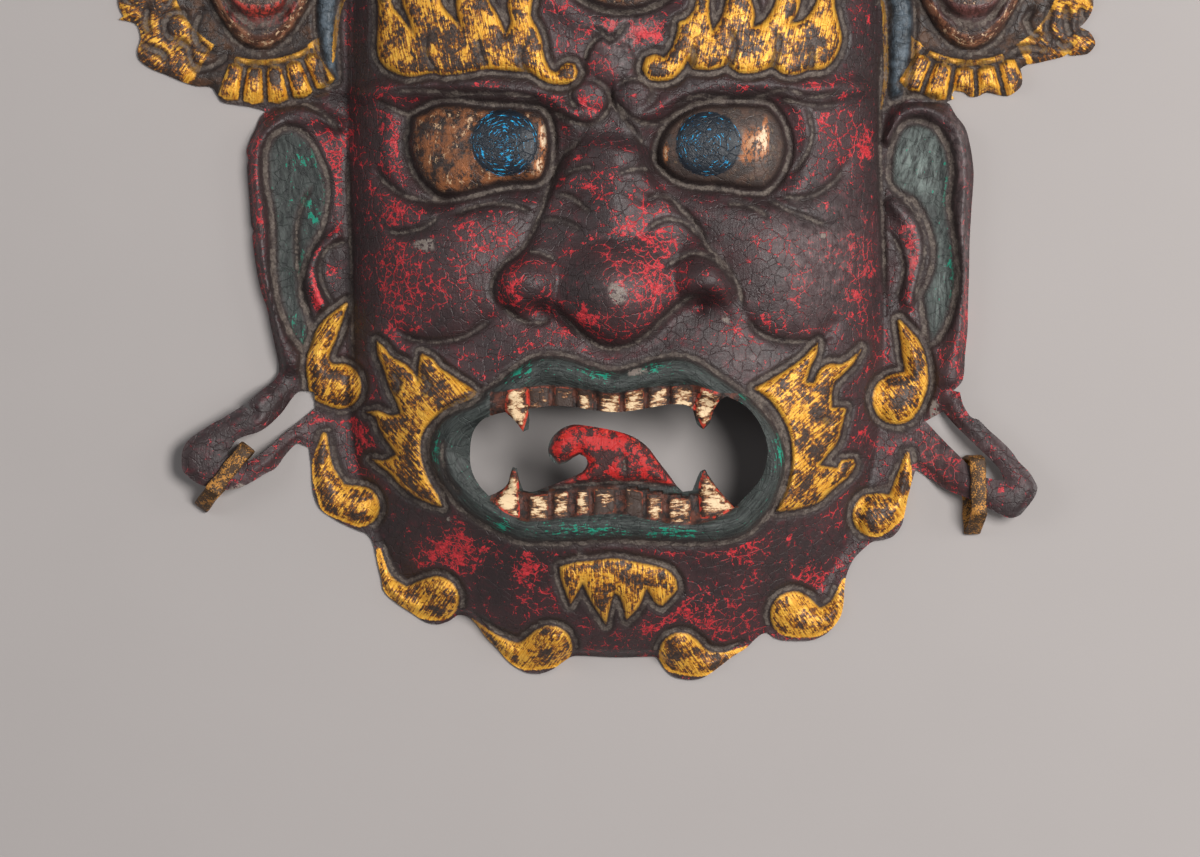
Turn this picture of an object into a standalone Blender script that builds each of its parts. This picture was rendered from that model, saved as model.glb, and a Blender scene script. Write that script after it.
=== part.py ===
"""A painted copper cham mask, hammered from one sheet, lying on its back with two strip earrings.

The relief is drawn in millimetres on the sheet: x to the right, y up the face, with the middle of the
eye line at the origin, and heights above the sheet's flat rim. LEFT and RIGHT are the viewer's.
"""

import math

import bmesh
import bpy
import numpy as np
from mathutils import Vector
from mathutils.geometry import delaunay_2d_cdt

# Driving sizes, in metres
MASK_WIDTH = 0.3175
SHEET_THICKNESS = 0.0011
STRIP_WIDTH = 0.0050
STRIP_THICKNESS = 0.0016
STRIP_CLEARANCE = 0.0010

# Heights of the relief above the flat rim, in drawing millimetres
FACE_HEIGHT = 32.0
NOSE_HEIGHT = 17.0
CHEEK_HEIGHT = 5.0
BROW_HEIGHT = 4.0
EYEBALL_HEIGHT = 6.5
LIP_HEIGHT = 4.5
EAR_HEIGHT = 4.5
CURL_HEIGHT = 3.2
FLAME_HEIGHT = 2.2
SKULL_HEIGHT = 13.0
PETAL_HEIGHT = 2.4
LEAF_HEIGHT = 2.2
LOBE_LIFT = 7.0

# The face's body: a rounded block with upright sides, an arched top and a tapering jaw
DRAWN_WIDTH = 317.5
FACE_MIDDLE = 0.5
FACE_HALF_WIDTH = 87.0
TEMPLE_Y = 42.0
FACE_TOP = 96.0
JAW_Y = -62.0
CHIN_Y = -168.0
FACE_SQUARENESS = 2.5

# How close the sheet's points lie, in drawing millimetres, and how many are added where the relief needs them
EDGE_SPACING = 5.2
COARSE_SPACING = 18.0
FINE_SPACING = 1.5
ADDED_POINTS = 1860
ROUNDS = 9

# The sheet's outline, clockwise from the crown's lower left; each stretch is smooth and meets the next at a corner
OUTLINE = [
    [(-160, 43), (-154.5, 41.5)],
    [(-154.5, 41.5), (-154.8, 31), (-149, 27), (-139, 22.7), (-130.5, 21)],
    [(-130.5, 21), (-127.5, 16.5), (-120, 14.8), (-113, 13.2)],
    [(-113, 13.2), (-117, 7), (-119.5, -1), (-118.5, -14), (-116.5, -34), (-112.6, -52), (-108.8, -72)],
    [(-108.8, -72), (-118, -81), (-130, -87.6), (-138.3, -94), (-139.6, -101), (-134, -107.8)],
    [(-134, -107.8), (-123.5, -109.7), (-110.5, -102.7), (-105, -95.3), (-100.5, -93.5)],
    [(-100.5, -93.5), (-98.2, -103), (-95, -115), (-86, -121.8), (-78.5, -126)],
    [(-78.5, -126), (-75.8, -138), (-69, -148.8), (-57.5, -153.4), (-49.3, -150)],
    [(-49.3, -150), (-42, -156), (-34.5, -164.6), (-25, -169.2), (-12.5, -163.8)],
    [(-12.5, -163.8), (14, -164)],
    [(14, -164), (18.5, -169.6), (26, -171.8), (36, -167), (45, -159.5), (49.5, -156.3)],
    [(49.5, -156.3), (52.3, -158.2), (62, -158.4), (70.5, -155.3), (75, -144), (76.5, -134.5), (84, -126.6)],
    [(84, -126.6), (91.5, -123.7), (96, -113), (98.2, -103.8)],
    [(98.2, -103.8), (108, -109.7), (121, -115.2), (129.5, -118.7), (137, -109)],
    [(137, -109), (131, -99), (122, -90), (114, -84.8), (113, -74.5)],
    [(113, -74.5), (114.8, -56), (115.6, -33), (116.6, -6), (113.5, 9), (108, 16.3)],
    [(108, 16.3), (114, 18.8), (127, 18), (132.5, 22), (131, 27)],
    [(131, 27), (140, 29.5), (151, 31), (156.5, 35.5), (153, 41)],
    [(153, 41), (157, 52), (154, 66), (149.5, 78)],
    [(149.5, 78), (144, 90), (132, 99), (118, 104)],
    [(118, 104), (117, 122), (107, 138), (91, 149)],
    [(91, 149), (77, 157), (58, 159), (43, 154)],
    [(43, 154), (38, 170), (20, 184), (0, 194)],
    [(0, 194), (-20, 184), (-38, 170), (-43, 154)],
    [(-43, 154), (-58, 159), (-77, 157), (-91, 149)],
    [(-91, 149), (-107, 138), (-117, 122), (-118, 104)],
    [(-118, 104), (-132, 99), (-146, 90), (-152, 78)],
    [(-152, 78), (-158, 66), (-161, 54), (-160, 43)],
]

# The mouth is cut through between the lips, fangs, teeth and tongue
MOUTH = [
    [(-33.5, -85), (-41, -86.6), (-46.2, -95), (-45, -105.5), (-40.5, -112.4)],
    [(-40.5, -112.4), (-34, -108.8), (-31.8, -101.8)],
    [(-31.8, -101.8), (-29.8, -107.2), (-27.5, -110.2)],
    [(-27.5, -110.2), (-17, -107), (-9.6, -103), (-8.3, -99.6), (-11.3, -97.7), (-15.5, -101), (-19.6, -100)],
    [(-19.6, -100), (-20.8, -94.5), (-15, -88.9), (-5, -89.4), (6.5, -93.3), (14, -101), (20.5, -108.6)],
    [(20.5, -108.6), (24.5, -109.6), (28.8, -102.6)],
    [(28.8, -102.6), (33, -109), (38.6, -115)],
    [(38.6, -115), (46, -108), (49.2, -98), (45, -87), (35, -80)],
    [(35, -80), (31.6, -85), (29.2, -89.6)],
    [(29.2, -89.6), (26, -85), (23, -82)],
    [(23, -82), (12, -82.6), (0, -84), (-14, -83.2), (-27.3, -82)],
    [(-27.3, -82), (-27.1, -87), (-28.8, -90.8)],
    [(-28.8, -90.8), (-31.5, -88), (-33.5, -85)],
]

# The slots that the earrings hang in, through the two stretched ear lobes
LEFT_SLOT = [
    (-97.2, -77.8), (-102.5, -78.6), (-108, -85), (-114, -90.4), (-121.6, -93.2),
    (-125.4, -97.8), (-121.6, -101.8), (-115.0, -99.2), (-104, -88.4), (-97, -82.5),
]
RIGHT_SLOT = [
    (101.6, -87.6), (106.8, -84.2), (110.5, -88.6), (117, -95.3), (124.3, -102.6),
    (125.2, -106), (119, -105), (110, -96.6),
]

# Each earring: the top of its front leg on the drawing, the way down it, and how far sideways its back leg lies
LEFT_STRIP = ((-118.4, -95.6), (-0.62, -0.785), 0.0)
RIGHT_STRIP = ((117.5, -98.6), (0.03, -1.0), 2.2)
STRIP_FRONT = 19.0
STRIP_DROP = 6.5

# Tapering strokes are points of x, y and half width
LEFT_CURLS = [
    [(-86.8, -49.4, 0.6), (-92.8, -58.4, 3.4), (-96, -68, 3.6), (-93, -75.6, 6.2), (-89, -76, 7.4)],
    [(-94, -92, 1.0), (-94.4, -103, 3.6), (-90.4, -113, 5.4), (-82.4, -115, 6.6)],
    [(-76.4, -129, 0.6), (-74, -139, 2.4), (-67.6, -146, 4.4), (-57.4, -144.8, 7.4)],
    [(-46, -152, 0.6), (-37.4, -159.4, 2.4), (-29.6, -163.4, 4.4), (-20.6, -160.4, 7.2)],
]
RIGHT_CURLS = [
    [(92.6, -55, 0.6), (96.6, -64, 3.4), (97.8, -74, 4.2), (91.8, -80.2, 8.2)],
    [(95.3, -98, 0.8), (94.0, -107, 2.8), (91.4, -115, 4.2), (84.6, -117.8, 7.2)],
    [(75, -139, 0.8), (72, -148.4, 3.0), (66, -152.4, 4.6), (58.2, -150.0, 7.6)],
    [(43, -161, 0.6), (35, -165.2, 2.8), (28, -165.6, 4.6), (21.6, -162.6, 7.0)],
]
LEFT_CHEEK_FLAME = [
    [(-77.6, -60, 0.3), (-73, -70, 2.6), (-67, -83, 5.2), (-65, -94, 5.4), (-60, -105, 4.6), (-51, -115.8, 0.6)],
    [(-62.8, -65, 0.3), (-59, -72, 2.6), (-62, -82, 5.0)],
    [(-43.4, -78.6, 0.4), (-51, -78.3, 3.6), (-61, -84, 6.0)],
    [(-80.6, -84.2, 0.3), (-73.5, -88, 2.8), (-66, -94, 5.0)],
    [(-79, -98.5, 0.3), (-70, -101, 2.2), (-61, -106, 4.0)],
]
RIGHT_CHEEK_FLAME = [
    [(44, -77.4, 0.4), (53, -78.6, 5.2), (60, -87, 7.0), (62.5, -99, 6.4), (61, -110, 7.0), (55.5, -115, 3.8)],
    [(65.6, -61, 0.3), (61, -68.5, 2.6), (55, -77, 4.0)],
    [(80.4, -63.2, 0.3), (72, -72, 3.4), (64.5, -80, 5.0)],
    [(75.5, -83, 1.0), (71.3, -90, 3.6), (65, -97, 5.0)],
    [(77.7, -99.6, 0.4), (71.5, -107, 2.6), (63, -111, 5.4)],
]
LEFT_BROW_FLAME = [
    [(-12.6, 25.4, 1.8), (-19.5, 22.2, 2.2), (-26, 27.5, 4.0), (-28, 37, 4.6), (-31.5, 49, 3.0), (-30, 60, 0.4)],
    [(-34, 28.5, 4.2), (-36.5, 38, 5.0), (-42.8, 47.5, 0.5)],
    [(-47, 28, 4.6), (-50, 38, 5.4), (-57.5, 50, 3.6), (-56, 64, 0.4)],
    [(-62, 29, 4.8), (-66, 39, 5.6), (-73, 50, 3.4), (-74, 66, 0.4)],
    [(-70, 31.5, 6.0), (-73, 37, 4.0)],
]
RIGHT_BROW_FLAME = [
    [(12.4, 26.2, 3.2), (16, 23, 2.0), (21.5, 27, 3.2), (23.5, 37, 3.4), (28.5, 47, 2.2), (29.5, 60, 0.4)],
    [(31, 29.8, 5.0), (35, 38.5, 4.4), (41, 48, 3.2), (42, 64, 0.4)],
    [(44, 29.5, 5.4), (49, 38, 5.4), (56, 47, 3.6), (60, 62, 0.4)],
    [(57, 29.3, 5.8), (63, 37, 5.0), (67, 46, 4.4), (72, 62, 0.4)],
    [(66.5, 32, 6.4), (70, 38, 3.0)],
]
CHIN_TUFT = [
    [(-15.5, -135, 1.8), (-4, -136.3, 4.4), (8, -136.6, 4.8), (17, -138.2, 2.6)],
    [(-12.5, -137, 2.6), (-13.7, -146.6, 0.3)],
    [(-6, -138, 4.0), (-5.6, -146, 2.4), (-2.8, -152.8, 0.3)],
    [(5.2, -138, 4.4), (5.6, -146, 2.4), (4, -151.6, 0.3)],
    [(16.4, -138.5, 3.2), (15.6, -147, 0.4)],
]

# Closed shapes
LEFT_EYE = [
    (-66, 0), (-64.2, 8), (-57, 13.4), (-48, 14.8), (-36, 13.6), (-25.5, 12), (-20.2, 6), (-19.8, -4),
    (-23.5, -11.6), (-34, -13), (-44, -15.8), (-54, -15.6), (-62, -9.4),
]
RIGHT_EYE = [
    (12.8, 0), (15, 7), (22, 12.8), (33, 14.3), (46, 13), (53.4, 8), (55.4, 0), (53.4, -8),
    (47.5, -13.4), (36, -12.8), (24, -12), (16, -7.4),
]
LIPS = [
    (-59.5, -96), (-55.5, -84.5), (-44, -76.8), (-32, -69), (-20, -66.4), (-8, -69.8), (0, -71.3), (9, -68.9),
    (19, -67.6), (31, -71), (44, -80), (54, -92), (55.6, -104), (48, -118.6), (37, -125.6), (20, -126.6),
    (0, -125.2), (-18, -127.4), (-33, -125.6), (-46, -118.6), (-56.5, -106.5),
]
NOSE = [
    (-9, 4), (-17, -9), (-23, -20), (-30, -33), (-38, -40), (-37, -49), (-30, -54.4), (-21, -52.5), (-13, -58.4),
    (0, -63.6), (11, -60.6), (19, -53), (27, -49), (36, -50.5), (39.5, -45), (35, -37.5), (28, -28), (20, -16), (11, 1),
]
EARS = {
    "left rim": [(-89, 8.5, 2.0), (-97, 11.6, 3.2), (-108, 10.4, 3.4), (-115.6, 0, 3.0), (-115, -20, 3.0),
                 (-113.3, -40, 3.0), (-109, -58, 3.2), (-104.5, -68, 4.0)],
    "right rim": [(88.6, 4, 1.6), (93, 12, 2.2), (101, 13.6, 2.8), (110, 8, 3.2), (113, -4, 3.2), (112.6, -24, 2.6),
                  (113, -45, 2.4), (111, -62, 3.6), (108, -72, 4.6)],
    "left tragus": [(-90, -27, 2.2), (-96.5, -34, 2.6), (-98.3, -41, 2.8), (-94.5, -50, 1.8)],
    "right tragus": [(90.4, -17, 2.2), (96.5, -25, 3.6), (98, -36, 3.8), (95.5, -49, 1.8)],
}
LEFT_CONCHA = [
    (-103, 6.8), (-110.5, 3), (-112.6, -8), (-110.8, -22), (-110.4, -38), (-107, -51), (-101.5, -61.5),
    (-97.4, -55), (-101, -43), (-98.5, -31), (-94.6, -20), (-93.6, -8), (-96.6, 2.4),
]
RIGHT_CONCHA = [
    (98, 8.2), (91.6, 3), (90.6, -8), (91.6, -13.6), (99.5, -20.6), (103.6, -31), (101.6, -43), (99.4, -53),
    (101.6, -61.6), (107.6, -55), (110, -42), (109, -27), (108.2, -13), (108, -2), (104.5, 5.6),
]

# The broad creases of the face: width, depth and the line
CREASES = [
    (4.6, 2.0, [(-78, -5), (-72, -11.6), (-64, -16.2), (-50, -18)]),
    (4.2, 1.6, [(-74, -26), (-66, -27.6), (-57, -24.6), (-45, -18.8), (-34, -18.5), (-26, -22.6)]),
    (4.4, 2.0, [(-10.6, 6), (-16, -2), (-20.6, -12), (-24, -21), (-29.6, -33), (-37, -38)]),
    (4.4, 2.0, [(11, 1), (14.6, -12), (21, -18.6), (27, -26.4), (32.4, -33.6), (39, -41)]),
    (5.0, 2.4, [(-71, -57), (-63, -61.8), (-53, -61.8), (-43.6, -57.6), (-38, -51)]),
    (5.0, 2.4, [(41.6, -53.6), (48, -60), (58, -62.6), (66.4, -60.6), (72.6, -53)]),
    (4.6, 2.0, [(76, -2), (71, -11), (62, -16.4), (51, -17)]),
    (4.2, 1.6, [(47, -16), (58, -21.8), (69.6, -25.3), (80, -21.4)]),
    (4.4, 2.0, [(-20, -16), (-12, -17.6), (0, -11), (10, -16.6), (16, -16)]),
]

# The brows' ridges and the two knots where they curl in above the nose
BROW_RIDGES = [
    [(-82, 18.5, 3.0), (-60, 19, 3.4), (-40, 18.4, 3.4), (-24, 16, 3.4), (-14, 11.4, 3.0), (-7, 10.2, 3.0)],
    [(80, 20, 3.0), (60, 18.6, 3.4), (40, 18.4, 3.6), (24, 16.6, 3.4), (13, 11.4, 3.0), (6, 10.6, 3.0)],
]
BROW_KNOTS = [(-8.0, 16.4, 5.6), (6.4, 16.6, 5.6), (-1.0, 27.0, 6.4)]
THIRD_EYE = (3.0, 57.0, 19.0, 14.0)

# The crown: skulls as centre, tilt and size, with the turn and spacing of the petals below, angles in degrees
SKULLS = [
    (-114.5, 60.0, 0.0, 1.0, 7.5, 10.8),
    (-73.0, 118.0, 26.0, 1.0, 0.0, 11.4),
    (0.0, 138.0, 0.0, 1.06, 0.0, 11.4),
    (73.0, 118.0, -26.0, 1.0, 0.0, 11.4),
    (115.5, 60.0, 0.0, 1.0, -3.0, 12.0),
]
SKULL_HALF_WIDTH = 18.5
SKULL_HALF_HEIGHT = 27.0
PETALS_IN_FRINGE = 5
FRINGE_RADIUS = 38.5
PETAL_HALF_WIDTH = 3.9
PETAL_HALF_LENGTH = 5.2
CROWN_BAND = [
    (-91.5, 24, 2.2), (-93, 48, 3.4), (-84, 78, 3.8), (-56, 99, 3.8), (0, 109, 3.8),
    (56, 99, 3.8), (84, 78, 3.8), (92.8, 48, 4.0), (92.6, 30, 3.6), (91.4, 19, 2.4),
]


def smooth(share):
    """0 below 0, 1 above 1, with an easy slope between."""
    share = np.clip(share, 0.0, 1.0)
    return share * share * (3 - 2 * share)


def spline(points, closed=False, step=2.0):
    """Points about a step apart on a smooth curve through the given ones. Columns after x and y run along."""
    p = np.asarray(points, float)
    n = len(p)
    ends = range(n if closed else n - 1)
    length = np.array([math.dist(p[i][:2], p[(i + 1) % n][:2]) for i in ends])
    tangent = np.empty_like(p)
    for i in range(n):
        if closed or 0 < i < n - 1:
            tangent[i] = (p[(i + 1) % n] - p[i - 1]) / (length[i - 1] + length[i % len(length)])
        elif i == 0:
            tangent[i] = (p[1] - p[0]) / length[0]
        else:
            tangent[i] = (p[-1] - p[-2]) / length[-1]
    pieces = []
    for i in ends:
        j = (i + 1) % n
        count = max(1, round(length[i] / step))
        u = (np.arange(count) / count)[:, None]
        pieces.append(
            (2 * u**3 - 3 * u**2 + 1) * p[i]
            + (u**3 - 2 * u**2 + u) * length[i] * tangent[i]
            + (3 * u**2 - 2 * u**3) * p[j]
            + (u**3 - u**2) * length[i] * tangent[j]
        )
    if not closed:
        pieces.append(p[-1:])
    return np.vstack(pieces)


def chained(stretches, step):
    """A closed outline from smooth stretches that meet at corners."""
    return np.vstack([spline(s, step=step)[:-1] for s in stretches])


def near(at, line, margin):
    """Which points lie within a margin of a line's box."""
    low, high = line[:, :2].min(0) - margin, line[:, :2].max(0) + margin
    return np.flatnonzero(((at > low) & (at < high)).all(1))


def line_distance(at, line, margin=12.0):
    """How far each point is from a line, and the share of the line's points passed there."""
    distance = np.full(len(at), 99.0)
    share = np.zeros(len(at))
    picked = near(at, line, margin)
    here = at[picked]
    best, where = np.full(len(here), 99.0), np.zeros(len(here))
    for i in range(len(line) - 1):
        a, along = line[i, :2], line[i + 1, :2] - line[i, :2]
        t = np.clip((here - a) @ along / max(along @ along, 1e-12), 0, 1)
        d = np.hypot(*(here - a - t[:, None] * along).T)
        nearer = d < best
        best[nearer] = d[nearer]
        where[nearer] = (i + t[nearer]) / (len(line) - 1)
    distance[picked], share[picked] = best, where
    return distance, share


def stroke_depth(at, strokes, margin=12.0):
    """How deep each point is inside a union of tapering strokes; negative outside."""
    depth = np.full(len(at), -99.0)
    for points in strokes:
        line = spline(points)
        picked = near(at, line, margin)
        here = at[picked]
        best = np.full(len(here), -99.0)
        for a, b in zip(line[:-1], line[1:]):
            along = b[:2] - a[:2]
            t = np.clip((here - a[:2]) @ along / max(along @ along, 1e-12), 0, 1)
            d = np.hypot(*(here - a[:2] - t[:, None] * along).T)
            best = np.maximum(best, a[2] + (b[2] - a[2]) * t - d)
        depth[picked] = np.maximum(depth[picked], best)
    return depth


def area_depth(at, outline, margin=12.0):
    """How deep each point is inside a closed outline; negative outside."""
    ring = np.vstack([outline, outline[:1]])
    distance, _ = line_distance(at, ring, margin)
    inside = np.zeros(len(at), bool)
    for a, b in zip(ring[:-1], ring[1:]):
        crosses = (a[1] > at[:, 1]) != (b[1] > at[:, 1])
        run = np.where(crosses, (at[:, 1] - a[1]) / (b[1] - a[1] if b[1] != a[1] else 1.0), 0.0)
        inside ^= crosses & (at[:, 0] < a[0] + run * (b[0] - a[0]))
    reach = np.minimum(distance, margin)
    return np.where(inside, reach, -reach)


def mound(at, points, margin=45.0):
    """A soft rise of height 1 along a line whose points carry its half width."""
    line = spline(points)
    best = np.zeros(len(at))
    picked = near(at, line, margin)
    here = at[picked]
    for a, b in zip(line[:-1], line[1:]):
        along = b[:2] - a[:2]
        t = np.clip((here - a[:2]) @ along / max(along @ along, 1e-12), 0, 1)
        d = np.hypot(*(here - a[:2] - t[:, None] * along).T)
        best[picked] = np.maximum(best[picked], np.exp(-((d / (a[2] + (b[2] - a[2]) * t)) ** 2)))
    return best


def hump(at, x, y, half_x, half_y):
    """A soft round rise of height 1."""
    return np.exp(-(((at[:, 0] - x) / half_x) ** 2) - ((at[:, 1] - y) / half_y) ** 2)


def plateau(depth, height, shoulder):
    """A raised shape with a rounded shoulder, from how deep a point is inside it."""
    return height * smooth(depth / shoulder)


def moat(depth, width, fall, out):
    """The chased groove that runs round a raised shape, a little way outside it."""
    return -fall * np.exp(-(((depth + out) / (width / 2)) ** 2))


def turned(at, x, y, tilt, size):
    """The points in a tilted and scaled frame of their own around x, y."""
    c, s = math.cos(math.radians(tilt)), math.sin(math.radians(tilt))
    moved = (at - (x, y)) / size
    return np.column_stack([moved[:, 0] * c + moved[:, 1] * s, -moved[:, 0] * s + moved[:, 1] * c])


def face_body(at):
    """The rounded block that the face is raised on."""
    side = np.abs(at[:, 0] - FACE_MIDDLE) / FACE_HALF_WIDTH
    above = np.maximum(at[:, 1] - TEMPLE_Y, 0) / (FACE_TOP - TEMPLE_Y)
    below = np.maximum(JAW_Y - at[:, 1], 0) / (JAW_Y - CHIN_Y)
    n = FACE_SQUARENESS
    out = (side**n + above**n + below**n) ** (1 / n)
    softness = 0.72 + 0.45 * smooth(below * 1.4)
    return FACE_HEIGHT * np.clip(1 - out**4, 0, 1) ** softness


def eyes(at):
    """Bulging eyeballs in sunken sockets, and the third eye in the forehead."""
    height = np.zeros(len(at))
    for outline in (LEFT_EYE, RIGHT_EYE):
        depth = area_depth(at, spline(outline, closed=True), 20.0)
        bulge = 1 - (1 - np.clip(depth / 11.0, 0, 1)) ** 2
        height += EYEBALL_HEIGHT * np.sqrt(bulge) - 4.2 * smooth((depth + 7) / 7) + moat(depth, 3.4, 1.2, out=0.0)
    x, y, half_x, half_y = THIRD_EYE
    out = np.hypot((at[:, 0] - x) / half_x, (at[:, 1] - y) / half_y)
    height += EYEBALL_HEIGHT * 0.8 * np.sqrt(np.clip(1 - out**2, 0, 1)) + moat((1 - out) * half_y, 3.4, 1.6, out=1.6)
    height += 2.0 * np.exp(-(((out - 1.36) * half_y / 2.6) ** 2))
    return height


def nose(at):
    """The nose: a wide ridge from between the brows to a round tip and two flared wings, undercut below."""
    depth = area_depth(at, spline(NOSE, closed=True), 20.0)
    rise = 0.42 * mound(at, [(0, 6, 9.0), (0, -12, 12.0), (0.5, -30, 17.0)])
    rise = np.maximum(rise, 1.0 * hump(at, 1, -46, 19, 18))
    rise = np.maximum(rise, 0.66 * hump(at, -27, -43.5, 12, 11))
    rise = np.maximum(rise, 0.72 * hump(at, 28.5, -42.5, 12, 10))
    height = NOSE_HEIGHT * rise * smooth((depth + 2.5) / 7.0)
    for x, y in ((-24.5, -51.6), (27.0, -50.6)):
        height -= 3.4 * hump(at, x, y, 3.4, 2.6)
    return height


def lips_and_cheeks(at):
    """The puffed cheeks, the lips round the mouth and the muzzle that they sit on."""
    height = CHEEK_HEIGHT * (hump(at, -55, -38, 19, 19) + hump(at, 55, -38, 20, 20))
    depth = area_depth(at, spline(LIPS, closed=True), 20.0)
    height += 2.5 * smooth((depth + 14) / 14)
    height += LIP_HEIGHT * np.exp(-(((depth - 4.2) / 4.0) ** 2)) + moat(depth, 3.4, 1.4, out=0.4)
    height += 3.0 * hump(at, 0, -148, 30, 14)
    return height


def ears(at):
    """Raised ear rims round a sunken hollow, and lobes that are bent up off the table."""
    height = np.zeros(len(at))
    for part, points in EARS.items():
        height = np.maximum(height, EAR_HEIGHT * (0.8 if "tragus" in part else 1.0) * mound(at, points, 14.0))
    for outline in (LEFT_CONCHA, RIGHT_CONCHA):
        height += moat(area_depth(at, spline(outline, closed=True)), 3.2, 0.5, out=0.0)
    return height + 1.6 * smooth((np.abs(at[:, 0]) - 84) / 3) * smooth((121 - np.abs(at[:, 0])) / 5) * smooth(
        (at[:, 1] + 80) / 14
    ) * smooth((12 - at[:, 1]) / 6)


def lobe_lift(at):
    """How far the stretched lobes bend up, so that the earrings pass under them."""
    return LOBE_LIFT * smooth((np.abs(at[:, 0]) - 100) / 17) * smooth((-66 - at[:, 1]) / 14)


def brows(at):
    """The ridges over the eyes and the knots between them."""
    height = BROW_HEIGHT * np.maximum(mound(at, BROW_RIDGES[0], 12.0), mound(at, BROW_RIDGES[1], 12.0)) * 0.8
    for x, y, radius in BROW_KNOTS:
        out = np.hypot(at[:, 0] - x, at[:, 1] - y)
        height = np.maximum(height, BROW_HEIGHT * np.sqrt(np.clip(1 - (out / (radius * 1.25)) ** 2, 0, 1)))
    return height


def gilt_shapes(at):
    """Curls along the jaw, flames on the cheeks and brows, and the tuft on the chin."""
    height = np.zeros(len(at))
    for curl in LEFT_CURLS + RIGHT_CURLS:
        depth = stroke_depth(at, [curl])
        height += plateau(depth + 0.8, CURL_HEIGHT, 5.0)
    for flame in (LEFT_CHEEK_FLAME, RIGHT_CHEEK_FLAME, LEFT_BROW_FLAME, RIGHT_BROW_FLAME, CHIN_TUFT):
        depth = stroke_depth(at, flame)
        height += plateau(depth + 0.8, FLAME_HEIGHT, 3.6)
    return height


def skull(own):
    """A grinning skull: domed brow, cheekbones, sunken eyes and nose, and a jaw with a rim."""
    narrow = SKULL_HALF_WIDTH * (1 - 0.16 * smooth(-own[:, 1] / SKULL_HALF_HEIGHT))
    out = np.hypot(own[:, 0] / narrow, own[:, 1] / SKULL_HALF_HEIGHT)
    height = SKULL_HEIGHT * np.clip(1 - out**2.6, 0, 1) ** 0.7
    for side in (-1, 1):
        height -= 4.0 * hump(own, side * 7.4, 5.2, 4.6, 4.8)
        height += 2.0 * hump(own, side * 10.4, -4.6, 4.6, 3.4)
    height -= 3.0 * hump(own, 0, -3.6, 2.2, 3.8)
    height -= 2.0 * np.exp(-(((own[:, 1] + 14.4 - own[:, 0] ** 2 * 0.022) / 1.7) ** 2)) * smooth((11.5 - np.abs(own[:, 0])) / 3)
    return height


def fringe(own, turn, spacing):
    """The row of petals that hangs under a skull."""
    height = np.zeros(len(own))
    for i in range(PETALS_IN_FRINGE):
        angle = math.radians(turn + (i - (PETALS_IN_FRINGE - 1) / 2) * spacing)
        across = own[:, 0] * math.cos(angle) + own[:, 1] * math.sin(angle)
        down = own[:, 0] * math.sin(angle) - own[:, 1] * math.cos(angle)
        out = np.hypot(across / PETAL_HALF_WIDTH, (down - FRINGE_RADIUS) / PETAL_HALF_LENGTH)
        height = np.maximum(height, PETAL_HEIGHT * np.clip(1.5 * (1 - out**4), 0, 1))
    return height


def crown(at):
    """Five skulls on flaming leaves, a beaded band and the petals below each skull."""
    height = plateau(stroke_depth(at, [CROWN_BAND]), 2.0, 2.4)
    leaf = np.zeros(len(at))
    heads = np.zeros(len(at))
    for x, y, tilt, size, turn, spacing in SKULLS:
        own = turned(at, x, y, tilt, size)
        aside = np.abs(np.arctan2(own[:, 0], own[:, 1]))
        reach = np.hypot(own[:, 0], own[:, 1])
        leaf = np.maximum(leaf, LEAF_HEIGHT * np.exp(-(((reach - 34) / 6) ** 2)) * smooth((2.1 - aside) / 0.3))
        heads = np.maximum(heads, skull(own))
        heads = np.maximum(heads, fringe(own, turn, spacing))
    return height + np.where(heads > 0.3, heads, np.maximum(heads, leaf))


def creases(at, lines):
    """The lines chased into the surface, each fading out at its ends."""
    height = np.zeros(len(at))
    for width, fall, points in lines:
        distance, share = line_distance(at, spline(points), 8.0)
        fade = smooth(np.minimum(share, 1 - share) / 0.12)
        height = np.minimum(height, -fall * (0.25 + 0.75 * fade) * np.exp(-((distance / (width / 2)) ** 2)))
    return height


def relief(at):
    """The height of the sheet's upper side above its flat rim, in drawing millimetres."""
    outline = chained(OUTLINE, 3.0)
    rim = smooth(area_depth(at, outline, 12.0) / 3.4)
    body = face_body(at)
    on_face = smooth(body / 9.0)
    height = body + (eyes(at) + nose(at) + lips_and_cheeks(at) + brows(at)) * on_face
    off_face = 1 - smooth(body / 5.0)
    height += (ears(at) * (at[:, 1] < 16) + crown(at) * (at[:, 1] > 12)) * off_face
    height += gilt_shapes(at) + creases(at, CREASES)
    return np.maximum(height * rim, 0.0) + lobe_lift(at)


def triangulated(points, edges, outline, holes):
    """The flat triangles between points, inside the outline and outside the holes."""
    flat, _, faces, *_ = delaunay_2d_cdt([Vector(p) for p in points], edges, [], 0, 1e-5)
    flat, faces = np.array([tuple(p) for p in flat]), np.array(faces)
    middles = flat[faces].mean(1)
    keep = area_depth(middles, outline, 1.0) > 0
    for hole in holes:
        keep &= area_depth(middles, hole, 1.0) < 0
    return flat, faces[keep]


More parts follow.
